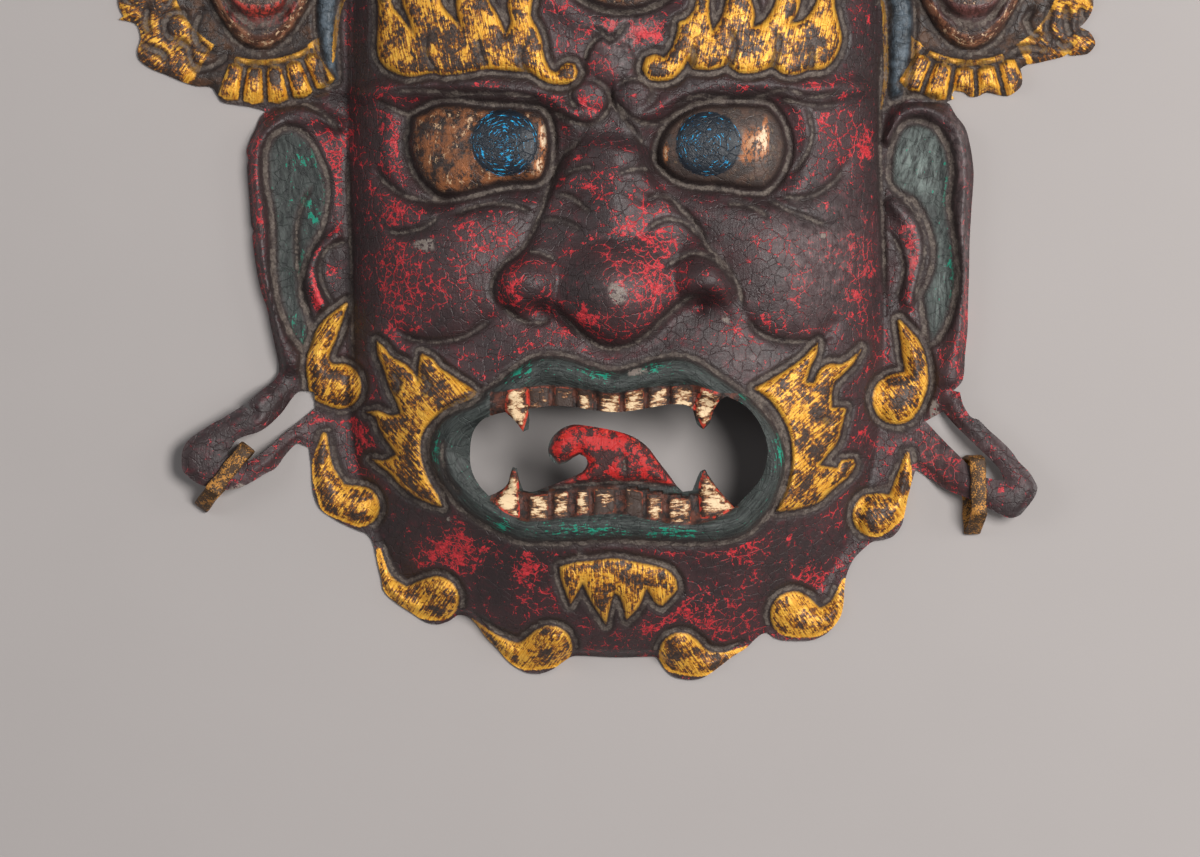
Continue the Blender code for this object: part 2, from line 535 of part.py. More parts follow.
def worst_points(flat, faces, height, samples, wanted):
    """In each triangle the sample that the flat triangle misses by most, and by how much."""
    order = np.argsort(samples[:, 0], kind="stable")
    columns = samples[order, 0]
    found = []
    for corners in faces:
        a, b, c = flat[corners]
        low, high = min(a[0], b[0], c[0]), max(a[0], b[0], c[0])
        some = order[np.searchsorted(columns, low) : np.searchsorted(columns, high)]
        y = samples[some, 1]
        some = some[(y > min(a[1], b[1], c[1])) & (y < max(a[1], b[1], c[1]))]
        if not len(some):
            continue
        base = (b[0] - a[0]) * (c[1] - a[1]) - (c[0] - a[0]) * (b[1] - a[1])
        at = samples[some] - a
        u = (at[:, 0] * (c[1] - a[1]) - (c[0] - a[0]) * at[:, 1]) / base
        v = ((b[0] - a[0]) * at[:, 1] - at[:, 0] * (b[1] - a[1])) / base
        inside = (u > 0.04) & (v > 0.04) & (u + v < 0.96)
        if not inside.any():
            continue
        some, u, v = some[inside], u[inside], v[inside]
        za, zb, zc = height[corners]
        miss = np.abs(za + u * (zb - za) + v * (zc - za) - wanted[some])
        worst = miss.argmax()
        found.append((miss[worst], some[worst]))
    found.sort(reverse=True)
    return found


def sheet_triangles():
    """The sheet's points and triangles, laid where they follow the relief best."""
    outline = chained(OUTLINE, EDGE_SPACING)
    holes = [chained(MOUTH, EDGE_SPACING * 0.7)] + [
        spline(slot, closed=True, step=EDGE_SPACING * 0.7) for slot in (LEFT_SLOT, RIGHT_SLOT)
    ]
    edges, points = [], []
    for ring in [outline, *holes]:
        first = len(points)
        edges += [(first + i, first + (i + 1) % len(ring)) for i in range(len(ring))]
        points.extend(ring.tolist())
    low, high = outline.min(0), outline.max(0)
    nx, ny = ((high - low) / FINE_SPACING).astype(int)
    samples = np.stack(np.meshgrid(np.arange(nx), np.arange(ny)), -1).reshape(-1, 2).astype(float)
    samples[:, 0] += 0.5 * (samples[:, 1] % 2)
    samples = low + (samples + 0.25) * FINE_SPACING
    depth = area_depth(samples, outline, 4.0)
    for hole in holes:
        depth = np.minimum(depth, -area_depth(samples, hole, 4.0))
    samples = samples[depth > 1.3]
    wanted = relief(samples)
    _, first = np.unique(np.round((samples - low) / COARSE_SPACING), axis=0, return_index=True)
    points.extend(samples[first].tolist())
    for _ in range(ROUNDS):
        flat, faces = triangulated(points, edges, outline, holes)
        found = worst_points(flat, faces, relief(flat), samples, wanted)
        points.extend(samples[[at for _, at in found[: ADDED_POINTS // ROUNDS]]].tolist())
    return triangulated(points, edges, outline, holes)


def sheet_mesh(name, scale):
    """The upper side of the sheet as a triangle mesh, raised by the relief."""
    flat, faces = sheet_triangles()
    corners = np.column_stack([flat, relief(flat)]) * scale
    mesh = bpy.data.meshes.new(name)
    mesh.from_pydata(corners.tolist(), [], faces.tolist())
    shape = bmesh.new()
    shape.from_mesh(mesh)
    bmesh.ops.delete(shape, geom=[v for v in shape.verts if not v.link_faces], context="VERTS")
    bmesh.ops.recalc_face_normals(shape, faces=shape.faces)
    if sum(face.normal.z for face in shape.faces) < 0:
        bmesh.ops.reverse_faces(shape, faces=shape.faces)
    shape.to_mesh(mesh)
    shape.free()
    return mesh


def painted(name, colour, roughness, metallic):
    """A plain material of one colour."""
    material = bpy.data.materials.new(name)
    material.use_nodes = True
    shader = material.node_tree.nodes["Principled BSDF"]
    shader.inputs["Base Color"].default_value = (*colour, 1.0)
    shader.inputs["Roughness"].default_value = roughness
    shader.inputs["Metallic"].default_value = metallic
    return material


def make_sheet(collection, parent, scale):
    """The whole mask: one hammered sheet of even thickness."""
    mask = bpy.data.objects.new("mask_sheet", sheet_mesh("mask_sheet", scale))
    collection.objects.link(mask)
    mask.parent = parent
    mask.location.z = SHEET_THICKNESS
    wall = mask.modifiers.new("sheet", "SOLIDIFY")
    wall.thickness = SHEET_THICKNESS
    wall.offset = -1.0
    wall.use_rim = True
    mask.data.materials.append(painted("lacquered copper", (0.16, 0.05, 0.05), 0.5, 0.0))
    return mask


def strip_side(depth):
    """The side view of an earring: flat over the lobe, sloping to the table, and back to the slot below."""
    low, end = STRIP_FRONT + STRIP_DROP, 0.16 * depth
    return [(0, end), (end, 0), (low - end, 0), (low, end), (STRIP_FRONT, depth - 0.1 * end),
            (STRIP_FRONT - 3, depth), (end, depth), (0, depth - end)]


def make_earring(name, collection, parent, scale, start, way, sideways, material):
    """A bent strip looped through the slot and round the lower arm of a lobe."""
    lift = lobe_lift(np.array([start]))[0]
    depth = lift + (SHEET_THICKNESS + STRIP_CLEARANCE + STRIP_THICKNESS) / scale
    outer = spline(strip_side(depth), closed=True, step=2.4)
    inner = inset_ring(outer, STRIP_THICKNESS / scale)
    down = np.array(way) / np.hypot(*way)
    across = np.array([down[1], -down[0]])
    corners, faces = [], []
    for ring, side in ((outer, -1), (outer, 1), (inner, 1), (inner, -1)):
        shift = side * STRIP_WIDTH / scale / 2 + sideways * (1 - ring[:, 1] / depth)
        flat = np.array(start) + ring[:, :1] * down + shift[:, None] * across
        corners.extend((np.column_stack([flat, ring[:, 1]]) * scale).tolist())
    count = len(outer)
    for band in range(4):
        for i in range(count):
            j, other = (i + 1) % count, (band + 1) % 4
            faces.append((band * count + i, band * count + j, other * count + j, other * count + i))
    mesh = bpy.data.meshes.new(name)
    mesh.from_pydata(corners, [], faces)
    shape = bmesh.new()
    shape.from_mesh(mesh)
    bmesh.ops.recalc_face_normals(shape, faces=shape.faces)
    shape.to_mesh(mesh)
    shape.free()
    earring = bpy.data.objects.new(name, mesh)
    collection.objects.link(earring)
    earring.parent = parent
    mesh.materials.append(material)
    return earring


def inset_ring(ring, inset):
    """The ring moved inwards by an even distance."""
    before, after = np.roll(ring, 1, 0), np.roll(ring, -1, 0)
    along = after - before
    normal = np.column_stack([-along[:, 1], along[:, 0]]) / np.hypot(*along.T)[:, None]
    area = np.sum(ring[:, 0] * after[:, 1] - after[:, 0] * ring[:, 1])
    return ring + normal * inset * (1 if area > 0 else -1)


def main():
    for obj in list(bpy.data.objects):
        bpy.data.objects.remove(obj)
    collection = bpy.data.collections.new("cham mask")
    bpy.context.scene.collection.children.link(collection)
    scale = MASK_WIDTH / DRAWN_WIDTH
    outline = chained(OUTLINE, EDGE_SPACING)
    middle = (outline.min(0) + outline.max(0)) / 2 * scale
    base = bpy.data.objects.new("mask_frame", None)
    collection.objects.link(base)
    base.location = (-middle[0], -middle[1], 0)
    make_sheet(collection, base, scale)
    gilt = painted("worn gilt strip", (0.42, 0.24, 0.07), 0.5, 0.3)
    make_earring("left_earring", collection, base, scale, *LEFT_STRIP, gilt)
    make_earring("right_earring", collection, base, scale, *RIGHT_STRIP, gilt)


main()
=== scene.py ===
import math

import bmesh
import bpy
import numpy as np
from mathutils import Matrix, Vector, noise
from mathutils.geometry import delaunay_2d_cdt


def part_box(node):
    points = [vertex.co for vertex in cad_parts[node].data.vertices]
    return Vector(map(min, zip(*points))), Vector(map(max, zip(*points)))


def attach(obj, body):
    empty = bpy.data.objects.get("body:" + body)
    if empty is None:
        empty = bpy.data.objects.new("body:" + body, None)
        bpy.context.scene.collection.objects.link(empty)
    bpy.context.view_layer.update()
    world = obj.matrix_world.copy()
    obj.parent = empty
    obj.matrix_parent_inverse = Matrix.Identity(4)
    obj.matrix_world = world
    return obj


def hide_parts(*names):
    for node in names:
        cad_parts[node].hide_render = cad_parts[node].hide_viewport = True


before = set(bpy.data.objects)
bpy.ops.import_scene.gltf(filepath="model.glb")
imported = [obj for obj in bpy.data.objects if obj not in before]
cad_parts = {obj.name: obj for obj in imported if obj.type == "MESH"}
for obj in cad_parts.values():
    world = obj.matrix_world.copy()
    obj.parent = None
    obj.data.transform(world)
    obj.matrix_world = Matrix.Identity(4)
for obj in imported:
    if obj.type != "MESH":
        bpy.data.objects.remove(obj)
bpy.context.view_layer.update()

# The photograph's frame and scale. The drawing is in millimetres: x right, y up, 0 between the eyes.
PHOTO_SIZE = (1200, 857)
MM_PER_PIXEL = 0.32
MM_PER_METRE = 1000.0
ORIGIN_PIXEL = (614, 148)
CAMERA_DISTANCE = 1.9
SENSOR_WIDTH = 36.0
FACE_LEVEL = 0.028

# How far the drawing reaches from its zero point
DRAWN_LEFT = 161.0
DRAWN_RIGHT = 157.0
DRAWN_BOTTOM = 171.8

# The floor, the lights and the room, in metres and watts. A light has a place, a size, a power and a colour.
FLOOR_HALF = 1.6
LIT_SPOT = (0.0, -0.06, 0)
LIGHTS = [
    ("key", (0.75, 0.12, 1.50), 0.75, 29.0, (1.0, 0.985, 0.965)),
    ("low_right", (1.25, 0.15, 0.60), 0.70, 3.0, (1.0, 0.99, 0.98)),
    ("left_fill", (-1.2, 0.3, 0.9), 0.8, 4.0, (0.97, 0.98, 1.0)),
]
ROOM_COLOUR = (0.95, 0.97, 1.0, 1.0)
ROOM_STRENGTH = 0.17

# The sheet's points, in drawing millimetres
GRID = 0.8
BORDER_WEIGHT = 0.03
EVEN_WEIGHT = 0.004
SLOPE_SPAN = 0.6
STEEPEST = 2.4
BACK_GRID = 2.4
EDGE_STEP = 1.0
FRONT_POINTS = 76000
THICKNESS = 1.1
# The hammering's unevenness, as the noise's scale, level and height
HAMMERING = ((0.11, 3.0, 0.35), (0.33, 7.0, 0.12))

# The same forms and heights as the solids
FACE_HEIGHT = 32.0
NOSE_HEIGHT = 17.0
CHEEK_HEIGHT = 5.0
BROW_HEIGHT = 4.0
EYEBALL_HEIGHT = 6.5
LIP_HEIGHT = 4.5
EAR_HEIGHT = 4.5
CURL_HEIGHT = 3.2
FLAME_HEIGHT = 2.2
SKULL_HEIGHT = 13.0
PETAL_HEIGHT = 2.4
LOBE_LIFT = 7.0
FACE_MIDDLE = 0.5
FACE_HALF_WIDTH = 87.0
TEMPLE_Y = 42.0
FACE_TOP = 96.0
JAW_Y = -62.0
CHIN_Y = -168.0
FACE_SQUARENESS = 2.5

# The outline, from the photo's upper left down and round to its upper right
OUTLINE = [
    (-160.5, 43), (-155, 41.5), (-153.5, 37), (-154.5, 33), (-154, 30), (-150, 27), (-145, 25), (-140, 22.8),
    (-135, 21.3), (-130.5, 21), (-128.7, 18.5), (-127, 16.2), (-122, 15.2), (-117, 14.4), (-112.8, 13.2),
    (-114.5, 11.5), (-116.3, 7.5), (-118, 4), (-119.2, 0), (-118.6, -2.2), (-119, -5), (-118.3, -15),
    (-117.6, -24), (-116.9, -25.6), (-117.3, -27), (-116.8, -32), (-116, -38), (-114.5, -45), (-112.5, -51),
    (-111.5, -56), (-110.2, -62), (-108.6, -71), (-110, -74), (-113, -76.5), (-118.4, -81.3), (-116.8, -84.6),
    (-120, -82.3), (-125, -85.5), (-130, -88.3), (-135, -91.5), (-138, -94), (-139.5, -97), (-139.8, -101),
    (-139, -104), (-134, -107.8), (-128, -109), (-123, -109.5), (-118, -107.5), (-113, -104.5),
    (-109.5, -102.5), (-107, -99), (-104.5, -96), (-102.5, -94.5), (-98.7, -96), (-98, -102), (-97.8, -107),
    (-97, -112), (-95, -116), (-90, -119.5), (-86, -121.5), (-82.5, -123), (-80, -124), (-78, -127),
    (-76.7, -133), (-75.5, -138), (-74.5, -142.5), (-71, -146), (-65, -150), (-61, -152.5), (-57, -153.3),
    (-53, -152), (-50.5, -150.3), (-47, -151), (-44, -154), (-41.5, -157.5), (-38, -161), (-35, -164.5),
    (-32, -167), (-28, -169), (-24, -169.3), (-20, -168), (-15, -164.5), (-12.5, -163.5), (0, -164),
    (12, -163.8), (14, -164), (16, -167), (19, -170), (24, -171.3), (28, -171), (31, -169.5), (35, -166.5),
    (39, -163.5), (43, -161), (45.5, -158.5), (48, -156.5), (50, -156), (52, -157.5), (55, -158.5),
    (64, -158.5), (68, -157), (71, -154.5), (73.5, -151), (74.5, -147), (75, -140), (76, -136), (78, -132),
    (82, -128), (84, -126.5), (88, -125.8), (91, -124.5), (93.5, -121), (94.5, -117), (95.5, -112),
    (97.5, -104.5), (98.3, -103), (102, -105.5), (106, -108.5), (110, -110.5), (115, -112.5), (121, -115.5),
    (125, -117.5), (128, -118.7), (131, -118), (133, -116), (136, -112), (137, -109), (136, -106.5),
    (134, -103.5), (131, -100.5), (128.5, -97), (125, -93.5), (121, -90), (118, -87), (115.5, -86), (113, -82),
    (112, -78), (110, -77.5), (112.5, -75), (113.5, -72), (114, -66), (114.8, -58), (115, -50), (115.3, -40),
    (115.5, -30), (116, -20), (116.8, -8), (116.5, -3), (115.5, 3), (114, 8), (111, 12), (109, 15.5),
    (108, 16.2), (110.5, 17.3), (109.7, 18.5), (110.5, 20), (114, 19.3), (115.5, 18), (118, 18), (121, 19.3),
    (124, 18.8), (128, 18.2), (131, 20), (132.5, 22), (132.5, 24.5), (132, 27), (134, 28.3), (138, 29),
    (142, 30), (146, 31), (147.5, 32), (148.5, 31.3), (151, 31.5), (154, 32), (156.3, 35), (155.5, 37.5),
    (153.5, 40),
]

# The crown above the photo's edge, from right to left, each stretch edged with small lobes
CROWN_EDGE = [
    [(153.5, 40), (156.4, 52), (154, 66), (149.5, 78)],
    [(149.5, 78), (144, 90), (132, 99), (118, 104)],
    [(118, 104), (117, 122), (107, 138), (91, 149)],
    [(91, 149), (77, 157), (58, 159), (43, 154)],
    [(43, 154), (38, 170), (20, 184), (0, 194)],
    [(0, 194), (-20, 184), (-38, 170), (-43, 154)],
    [(-43, 154), (-58, 159), (-77, 157), (-91, 149)],
    [(-91, 149), (-107, 138), (-117, 122), (-118, 104)],
    [(-118, 104), (-132, 99), (-146, 90), (-152, 78)],
    [(-152, 78), (-158, 66), (-160.8, 54), (-160.5, 43)],
]
LOBE_WIDTH = 12.5
LOBE_DIP = 2.4

MOUTH = [
    (-46, -97), (-45, -91), (-42, -87), (-38, -85.3), (-34.6, -84.5), (-31, -88), (-29, -90.8), (-27.3, -90),
    (-27, -87), (-27.5, -83.5), (-20, -82.5), (-12, -83), (-6, -84), (0, -84.5), (6, -84), (12, -83), (18, -82),
    (23, -82.3), (25, -83.5), (26.5, -88.5), (28.5, -90), (30.5, -88), (31.5, -84.5), (34, -80.5), (36, -79.5),
    (41, -82), (45, -86), (47.5, -90.5), (49, -96), (48.5, -101), (47, -105.5), (43, -110.5), (38.5, -115),
    (34, -110), (31, -106), (29, -102.8), (27.5, -103.5), (26, -107), (25, -109.5), (22, -110), (20, -108),
    (17.5, -104.5), (14, -100), (11, -96), (8, -93.5), (4, -91.5), (-2, -90), (-8, -89), (-13, -88.5),
    (-17, -90), (-20, -93), (-21, -96.5), (-20, -100), (-17.5, -101.2), (-15, -100.5), (-13, -99), (-11, -98),
    (-9, -99), (-8.5, -101), (-10, -103.5), (-14, -105.5), (-19, -107.5), (-23, -109), (-26, -110),
    (-29, -109.5), (-30, -107), (-31, -102.5), (-32.3, -102), (-33, -104), (-34, -107.5), (-37, -110),
    (-40, -111.3), (-43, -108), (-45.5, -103),
]
LEFT_SLOT = [
    (-97.2, -77.8), (-102.5, -78.0), (-108, -85), (-114, -90.4), (-121.6, -93.2),
    (-125.2, -97.8), (-121.6, -101.6), (-115.2, -98.8), (-104, -89.0), (-96.8, -83.0),
]
RIGHT_SLOT = [
    (101.2, -87.4), (106.8, -84.2), (110.5, -88.6), (117, -95.1), (124.3, -102.4),
    (126.6, -106.8), (119, -105), (110, -96.8),
]

LEFT_STRIP = ((-118.4, -95.6), (-0.62, -0.785), 0.0)
RIGHT_STRIP = ((117.5, -98.6), (0.03, -1.0), 2.2)
STRIP_FRONT = 19.0
STRIP_DROP = 6.5
STRIP_WIDTH = 5.0
STRIP_THICKNESS = 1.6
STRIP_CLEARANCE = 1.0
STRIP_SOFTNESS = 0.28
STRIP_DENT = 0.14
ABOVE_FLOOR = 0.02

LIP_OUTER = [
    (-45, -80), (-38, -76), (-33, -72), (-27, -68), (-21, -66.5), (-14, -67.5), (-7, -70), (0, -71.5), (7, -70),
    (13, -68), (20, -67), (26, -68.5), (33, -73), (40, -78), (46, -83), (51, -89), (54, -95), (55, -101),
    (54, -108), (51, -114), (47, -119), (42, -123.5), (35, -125.5), (25, -126), (12, -125.5), (0, -125),
    (-10, -125.5), (-20, -126), (-30, -125.5), (-38, -122), (-46, -117), (-53, -110), (-57.5, -103), (-59, -97),
    (-57, -90), (-52, -84),
]
# Upper and lower teeth: the gum line, the biting edge and the spans of the teeth along x
UPPER_TEETH = (
    [(-34, -78), (-28, -76.5), (-18, -76), (-8, -77.5), (0, -78.5), (8, -77), (18, -76), (26, -76), (34, -78.5)],
    [(-27.4, -20.6), (-19.2, -12.9), (-11.8, -6.4), (-5.0, 2.0), (3.2, 9.8), (10.8, 17.2), (18.2, 25.4)],
)
LOWER_TEETH = (
    [(-40, -112.5), (-35, -116.5), (-28, -119.5), (-18, -118.5), (-8, -117.5), (2, -117), (12, -119),
     (22, -120.5), (30, -119.5), (36, -117), (38.5, -115)],
    [(-27.4, -20.8), (-19.5, -14.4), (-12.2, -7.8), (-6.6, 0.4), (3.4, 9.4), (10.4, 15.6), (17.4, 24.8)],
)
FANGS = [
    [(-34, -77.6), (-34.6, -84.5), (-29, -91), (-27.2, -84), (-27.5, -76.5)],
    [(27.5, -76.5), (25.5, -84), (28.5, -90), (32.5, -84), (34, -78.5)],
    [(-39, -113), (-35, -108.5), (-32, -102), (-30.5, -106), (-30, -118.5), (-35, -116.5)],
    [(27, -108), (28.6, -102.8), (33, -109), (38.5, -115), (33, -118.2), (27.5, -118.5)],
]
TONGUE = [
    (-24, -109.2), (-19, -107.5), (-10, -103.5), (-8.5, -101), (-11, -98), (-17.5, -101.2), (-21, -97),
    (-18, -91), (-10, -88), (4, -91), (11, -96), (17.5, -104.5), (20.5, -108.2), (10, -107.6), (0, -107.2),
    (-12, -107.8),
]

LEFT_EYE = [
    (-66, 11), (-62, 13), (-57, 15), (-50, 15.3), (-40, 14), (-30, 13.5), (-24, 12.8), (-21, 10), (-19.5, 5),
    (-19.2, 0), (-20, -6), (-22, -10.5), (-25, -12.3), (-32, -12.5), (-38, -13.5), (-44, -15), (-50, -16.3),
    (-56, -16), (-60, -13), (-64, -8), (-66, -3), (-67, 2), (-66.3, 7),
]
RIGHT_EYE = [
    (13, -2), (14, 3), (17, 8), (22, 12), (28, 14.3), (35, 15), (43, 15), (49, 14.5), (53, 11), (55.5, 6),
    (56.5, 0), (55.5, -5), (53, -10), (49, -14), (46, -14.5), (40, -14), (34, -13), (27, -12.7), (20, -11),
    (16, -8), (13.5, -5),
]
IRISES = [(-35, 1.5, 10.8), (30, 1, 10.5)]
THIRD_EYE = (3.0, 57.0, 19.0, 14.0)

NOSE = [
    (-9, 4), (-17, -9), (-23, -20), (-30, -33), (-38, -40), (-37, -49), (-30, -54.4), (-21, -52.5),
    (-13, -58.4), (0, -63.6), (11, -60.6), (19, -53), (27, -49), (36, -50.5), (39.5, -45), (35, -37.5),
    (28, -28), (20, -16), (11, 1),
]
EARS = {
    "left rim": [(-89, 8.5, 2.0), (-97, 11.6, 3.2), (-108, 10.4, 3.4), (-115.6, 0, 3.0), (-115, -20, 3.0),
                 (-113.3, -40, 3.0), (-109, -58, 3.2), (-104.5, -68, 4.0)],
    "right rim": [(88.6, 4, 1.6), (93, 12, 2.2), (101, 13.6, 2.8), (110, 8, 3.2), (113, -4, 3.2),
                  (112.6, -24, 2.6), (113, -45, 2.4), (111, -62, 3.6), (108, -72, 4.6)],
    "left tragus": [(-90, -27, 2.2), (-96.5, -34, 2.6), (-98.3, -41, 2.8), (-94.5, -50, 1.8)],
    "right tragus": [(90.4, -17, 2.2), (96.5, -25, 3.6), (98, -36, 3.8), (95.5, -49, 1.8)],
}
LEFT_CONCHA = [
    (-100.5, -65), (-104.5, -59.5), (-106, -56), (-108, -51), (-109.5, -45), (-110.3, -38), (-110.5, -30),
    (-111, -20), (-112.5, -12), (-113, -5), (-112.8, 0), (-111, 4.5), (-108, 7), (-105, 7.7), (-101.5, 6.5),
    (-98, 3), (-95, -3), (-93, -8), (-92.6, -13), (-93.2, -19), (-95, -26), (-98, -31), (-100.6, -38),
    (-101.6, -46), (-99.5, -53), (-98.4, -60),
]
RIGHT_CONCHA = [
    (89.5, -10), (89.3, -3), (90.5, 3), (93, 8), (97, 10), (101, 9.5), (105, 7), (108, 2), (109.5, -4),
    (109.5, -10), (108.5, -16), (110, -26), (111, -34), (111.3, -42), (110, -50), (108, -56), (105, -61),
    (102, -63), (101, -58), (100, -52), (99.5, -46), (101, -43), (103, -38), (103.5, -32), (102.5, -26),
    (100.5, -21), (98, -17), (95, -14.5), (92, -13),
]

# The gilt shapes, each as a closed outline
LEFT_BROW = [
    (-76, 47), (-76.3, 33), (-75.5, 29), (-73, 26), (-70, 24.3), (-66, 23), (-62, 23.3), (-58, 24), (-55, 23.3),
    (-50, 23.5), (-45, 24.3), (-40, 25), (-30, 24.2), (-27, 24), (-24, 22), (-21, 20.5), (-17, 20), (-13, 21),
    (-11.5, 24), (-12.5, 26.5), (-15, 27), (-17, 25.5), (-18, 24), (-20, 24.5), (-21.5, 27), (-22.5, 30),
    (-23, 34), (-24.5, 38), (-26.5, 42), (-26, 48), (-28, 57), (-32, 51), (-34, 46), (-33, 40), (-34.5, 36),
    (-37, 42), (-40, 47), (-40.5, 54), (-45, 62), (-47.5, 54), (-50.5, 47), (-49, 38), (-51, 41), (-55, 46),
    (-56, 53), (-60, 66), (-64, 55), (-68, 48), (-66, 42), (-64.5, 37), (-68, 42), (-71.5, 47), (-71, 54),
    (-76, 62), (-78, 54),
]
RIGHT_BROW = [
    (9, 25), (11, 21.5), (15, 21), (19, 22), (22, 25), (23.5, 28), (25, 25), (31, 24.7), (34, 25.5), (36, 26.6),
    (40, 23.8), (44, 23.7), (48, 24.8), (50.5, 26), (55, 23.3), (59, 23.7), (62, 25), (67, 25.5), (70, 28),
    (72, 31), (73.3, 35), (73, 38), (72, 42), (71, 47), (72.5, 54), (76, 62), (69, 57), (65.5, 51), (64.5, 46),
    (60.5, 41), (56.5, 40), (59, 44), (60, 50), (60, 58), (61.5, 66), (55.5, 58), (52.5, 51), (51, 45),
    (47.5, 40), (44.5, 38.5), (45, 43), (43.5, 49), (44.5, 57), (44, 63), (39, 56), (36.5, 49), (34.5, 42),
    (31.5, 37), (30.5, 42), (30.5, 48), (31.5, 57), (27, 51), (25.6, 44), (23, 41), (20.5, 40), (20, 36),
    (18, 31), (16, 28.6), (13, 29.6), (10, 28.6),
]
LEFT_CHEEK = [
    (-76.5, -61.5), (-74, -63.5), (-71, -67), (-67, -69), (-64, -72), (-62.8, -74.5), (-62.6, -70),
    (-62, -65.5), (-58, -67.5), (-56, -70), (-53, -72), (-50, -74), (-46, -76.5), (-43.5, -78.5), (-46, -80.5),
    (-50, -82), (-55, -84.5), (-59, -88), (-61.5, -92), (-62, -97), (-61, -102), (-59, -107), (-56.5, -111),
    (-55, -115), (-60, -113.5), (-65, -111), (-69, -108), (-72, -104.5), (-76, -101.5), (-78.5, -99.5),
    (-74, -100), (-70, -98), (-73, -94), (-75.5, -90), (-77, -86), (-80, -84.5), (-76, -84), (-72, -85.5),
    (-68.5, -85), (-70, -81), (-72, -77), (-74, -71), (-76, -66),
]
RIGHT_CHEEK = [
    (44.5, -77), (50, -74), (55, -71), (60, -67.5), (63, -64.5), (65.5, -62), (65, -66), (63, -70), (61.5, -75),
    (64, -75), (66, -71), (69, -69), (73, -69), (76.5, -67), (80, -64), (77, -69), (74, -72), (70.5, -76),
    (70, -83), (75, -83), (73.5, -89), (72, -94), (69, -98), (66, -101.5), (72, -102.5), (73, -100),
    (77.5, -99.5), (78, -102), (75, -106), (73, -107.5), (70, -110), (66, -113.5), (60, -115.5), (52, -116.5),
    (55, -109), (56.5, -103), (57, -97), (56, -91), (53, -85), (49, -80),
]
CHIN_TUFT = [
    (-17.5, -134), (-12, -132.5), (-6, -132), (0, -131.3), (6, -132.3), (12, -133.5), (17, -135), (19.8, -138),
    (20.5, -141.5), (15.5, -147), (13.5, -146), (10.5, -141), (8, -147), (4, -151.5), (2, -144), (0, -142.5),
    (-1, -146), (-2.5, -153), (-5, -149), (-7.5, -145), (-10, -139.5), (-12, -143), (-14, -146.5), (-17, -138),
]
# The jaw's curls: a tail that widens into a round bulb, as points of x, y and half width
CURLS = [
    [(-86.8, -49.4, 0.6), (-92.8, -58.4, 3.4), (-96, -68, 3.6), (-93, -75.6, 6.2), (-89, -76, 7.4)],
    [(-94, -92, 1.0), (-94.4, -103, 3.6), (-90.4, -113, 5.4), (-82.4, -115, 6.6)],
    [(-76.4, -129, 0.6), (-74, -139, 2.4), (-67.6, -146, 4.4), (-57.4, -144.8, 7.4)],
    [(-46, -152, 0.6), (-37.4, -159.4, 2.4), (-29.6, -163.4, 4.4), (-20.6, -160.4, 7.2)],
    [(92.6, -55, 0.6), (96.6, -64, 3.4), (97.8, -74, 4.2), (91.8, -80.2, 8.2)],
    [(95.3, -98, 0.8), (94.0, -107, 2.8), (91.4, -115, 4.2), (84.6, -117.8, 7.2)],
    [(75, -139, 0.8), (72, -148.4, 3.0), (66, -152.4, 4.6), (58.2, -150.0, 7.6)],
    [(43, -161, 0.6), (35, -165.2, 2.8), (28, -165.6, 4.6), (21.6, -162.6, 7.0)],
]

# Lines chased into the surface: width, depth and the line
CREASES = [
    (4.6, 1.4, [(-78, -5), (-72, -11.6), (-64, -16.2), (-50, -18)]),
    (4.2, 1.0, [(-74, -26), (-66, -27.6), (-57, -24.6), (-45, -18.8), (-34, -18.5), (-26, -22.6)]),
    (4.4, 1.4, [(-10.6, 6), (-16, -2), (-20.6, -12), (-24, -21), (-29.6, -33), (-37, -38)]),
    (4.4, 1.4, [(11, 1), (14.6, -12), (21, -18.6), (27, -26.4), (32.4, -33.6), (39, -41)]),
    (5.0, 1.8, [(-71, -57), (-63, -61.8), (-53, -61.8), (-43.6, -57.6), (-38, -51)]),
    (5.0, 1.8, [(41.6, -53.6), (48, -60), (58, -62.6), (66.4, -60.6), (72.6, -53)]),
    (4.6, 1.4, [(76, -2), (71, -11), (62, -16.4), (51, -17)]),
    (4.2, 1.0, [(47, -16), (58, -21.8), (69.6, -25.3), (80, -21.4)]),
    (4.4, 1.4, [(-20, -16), (-12, -17.6), (0, -11), (10, -16.6), (16, -16)]),
]
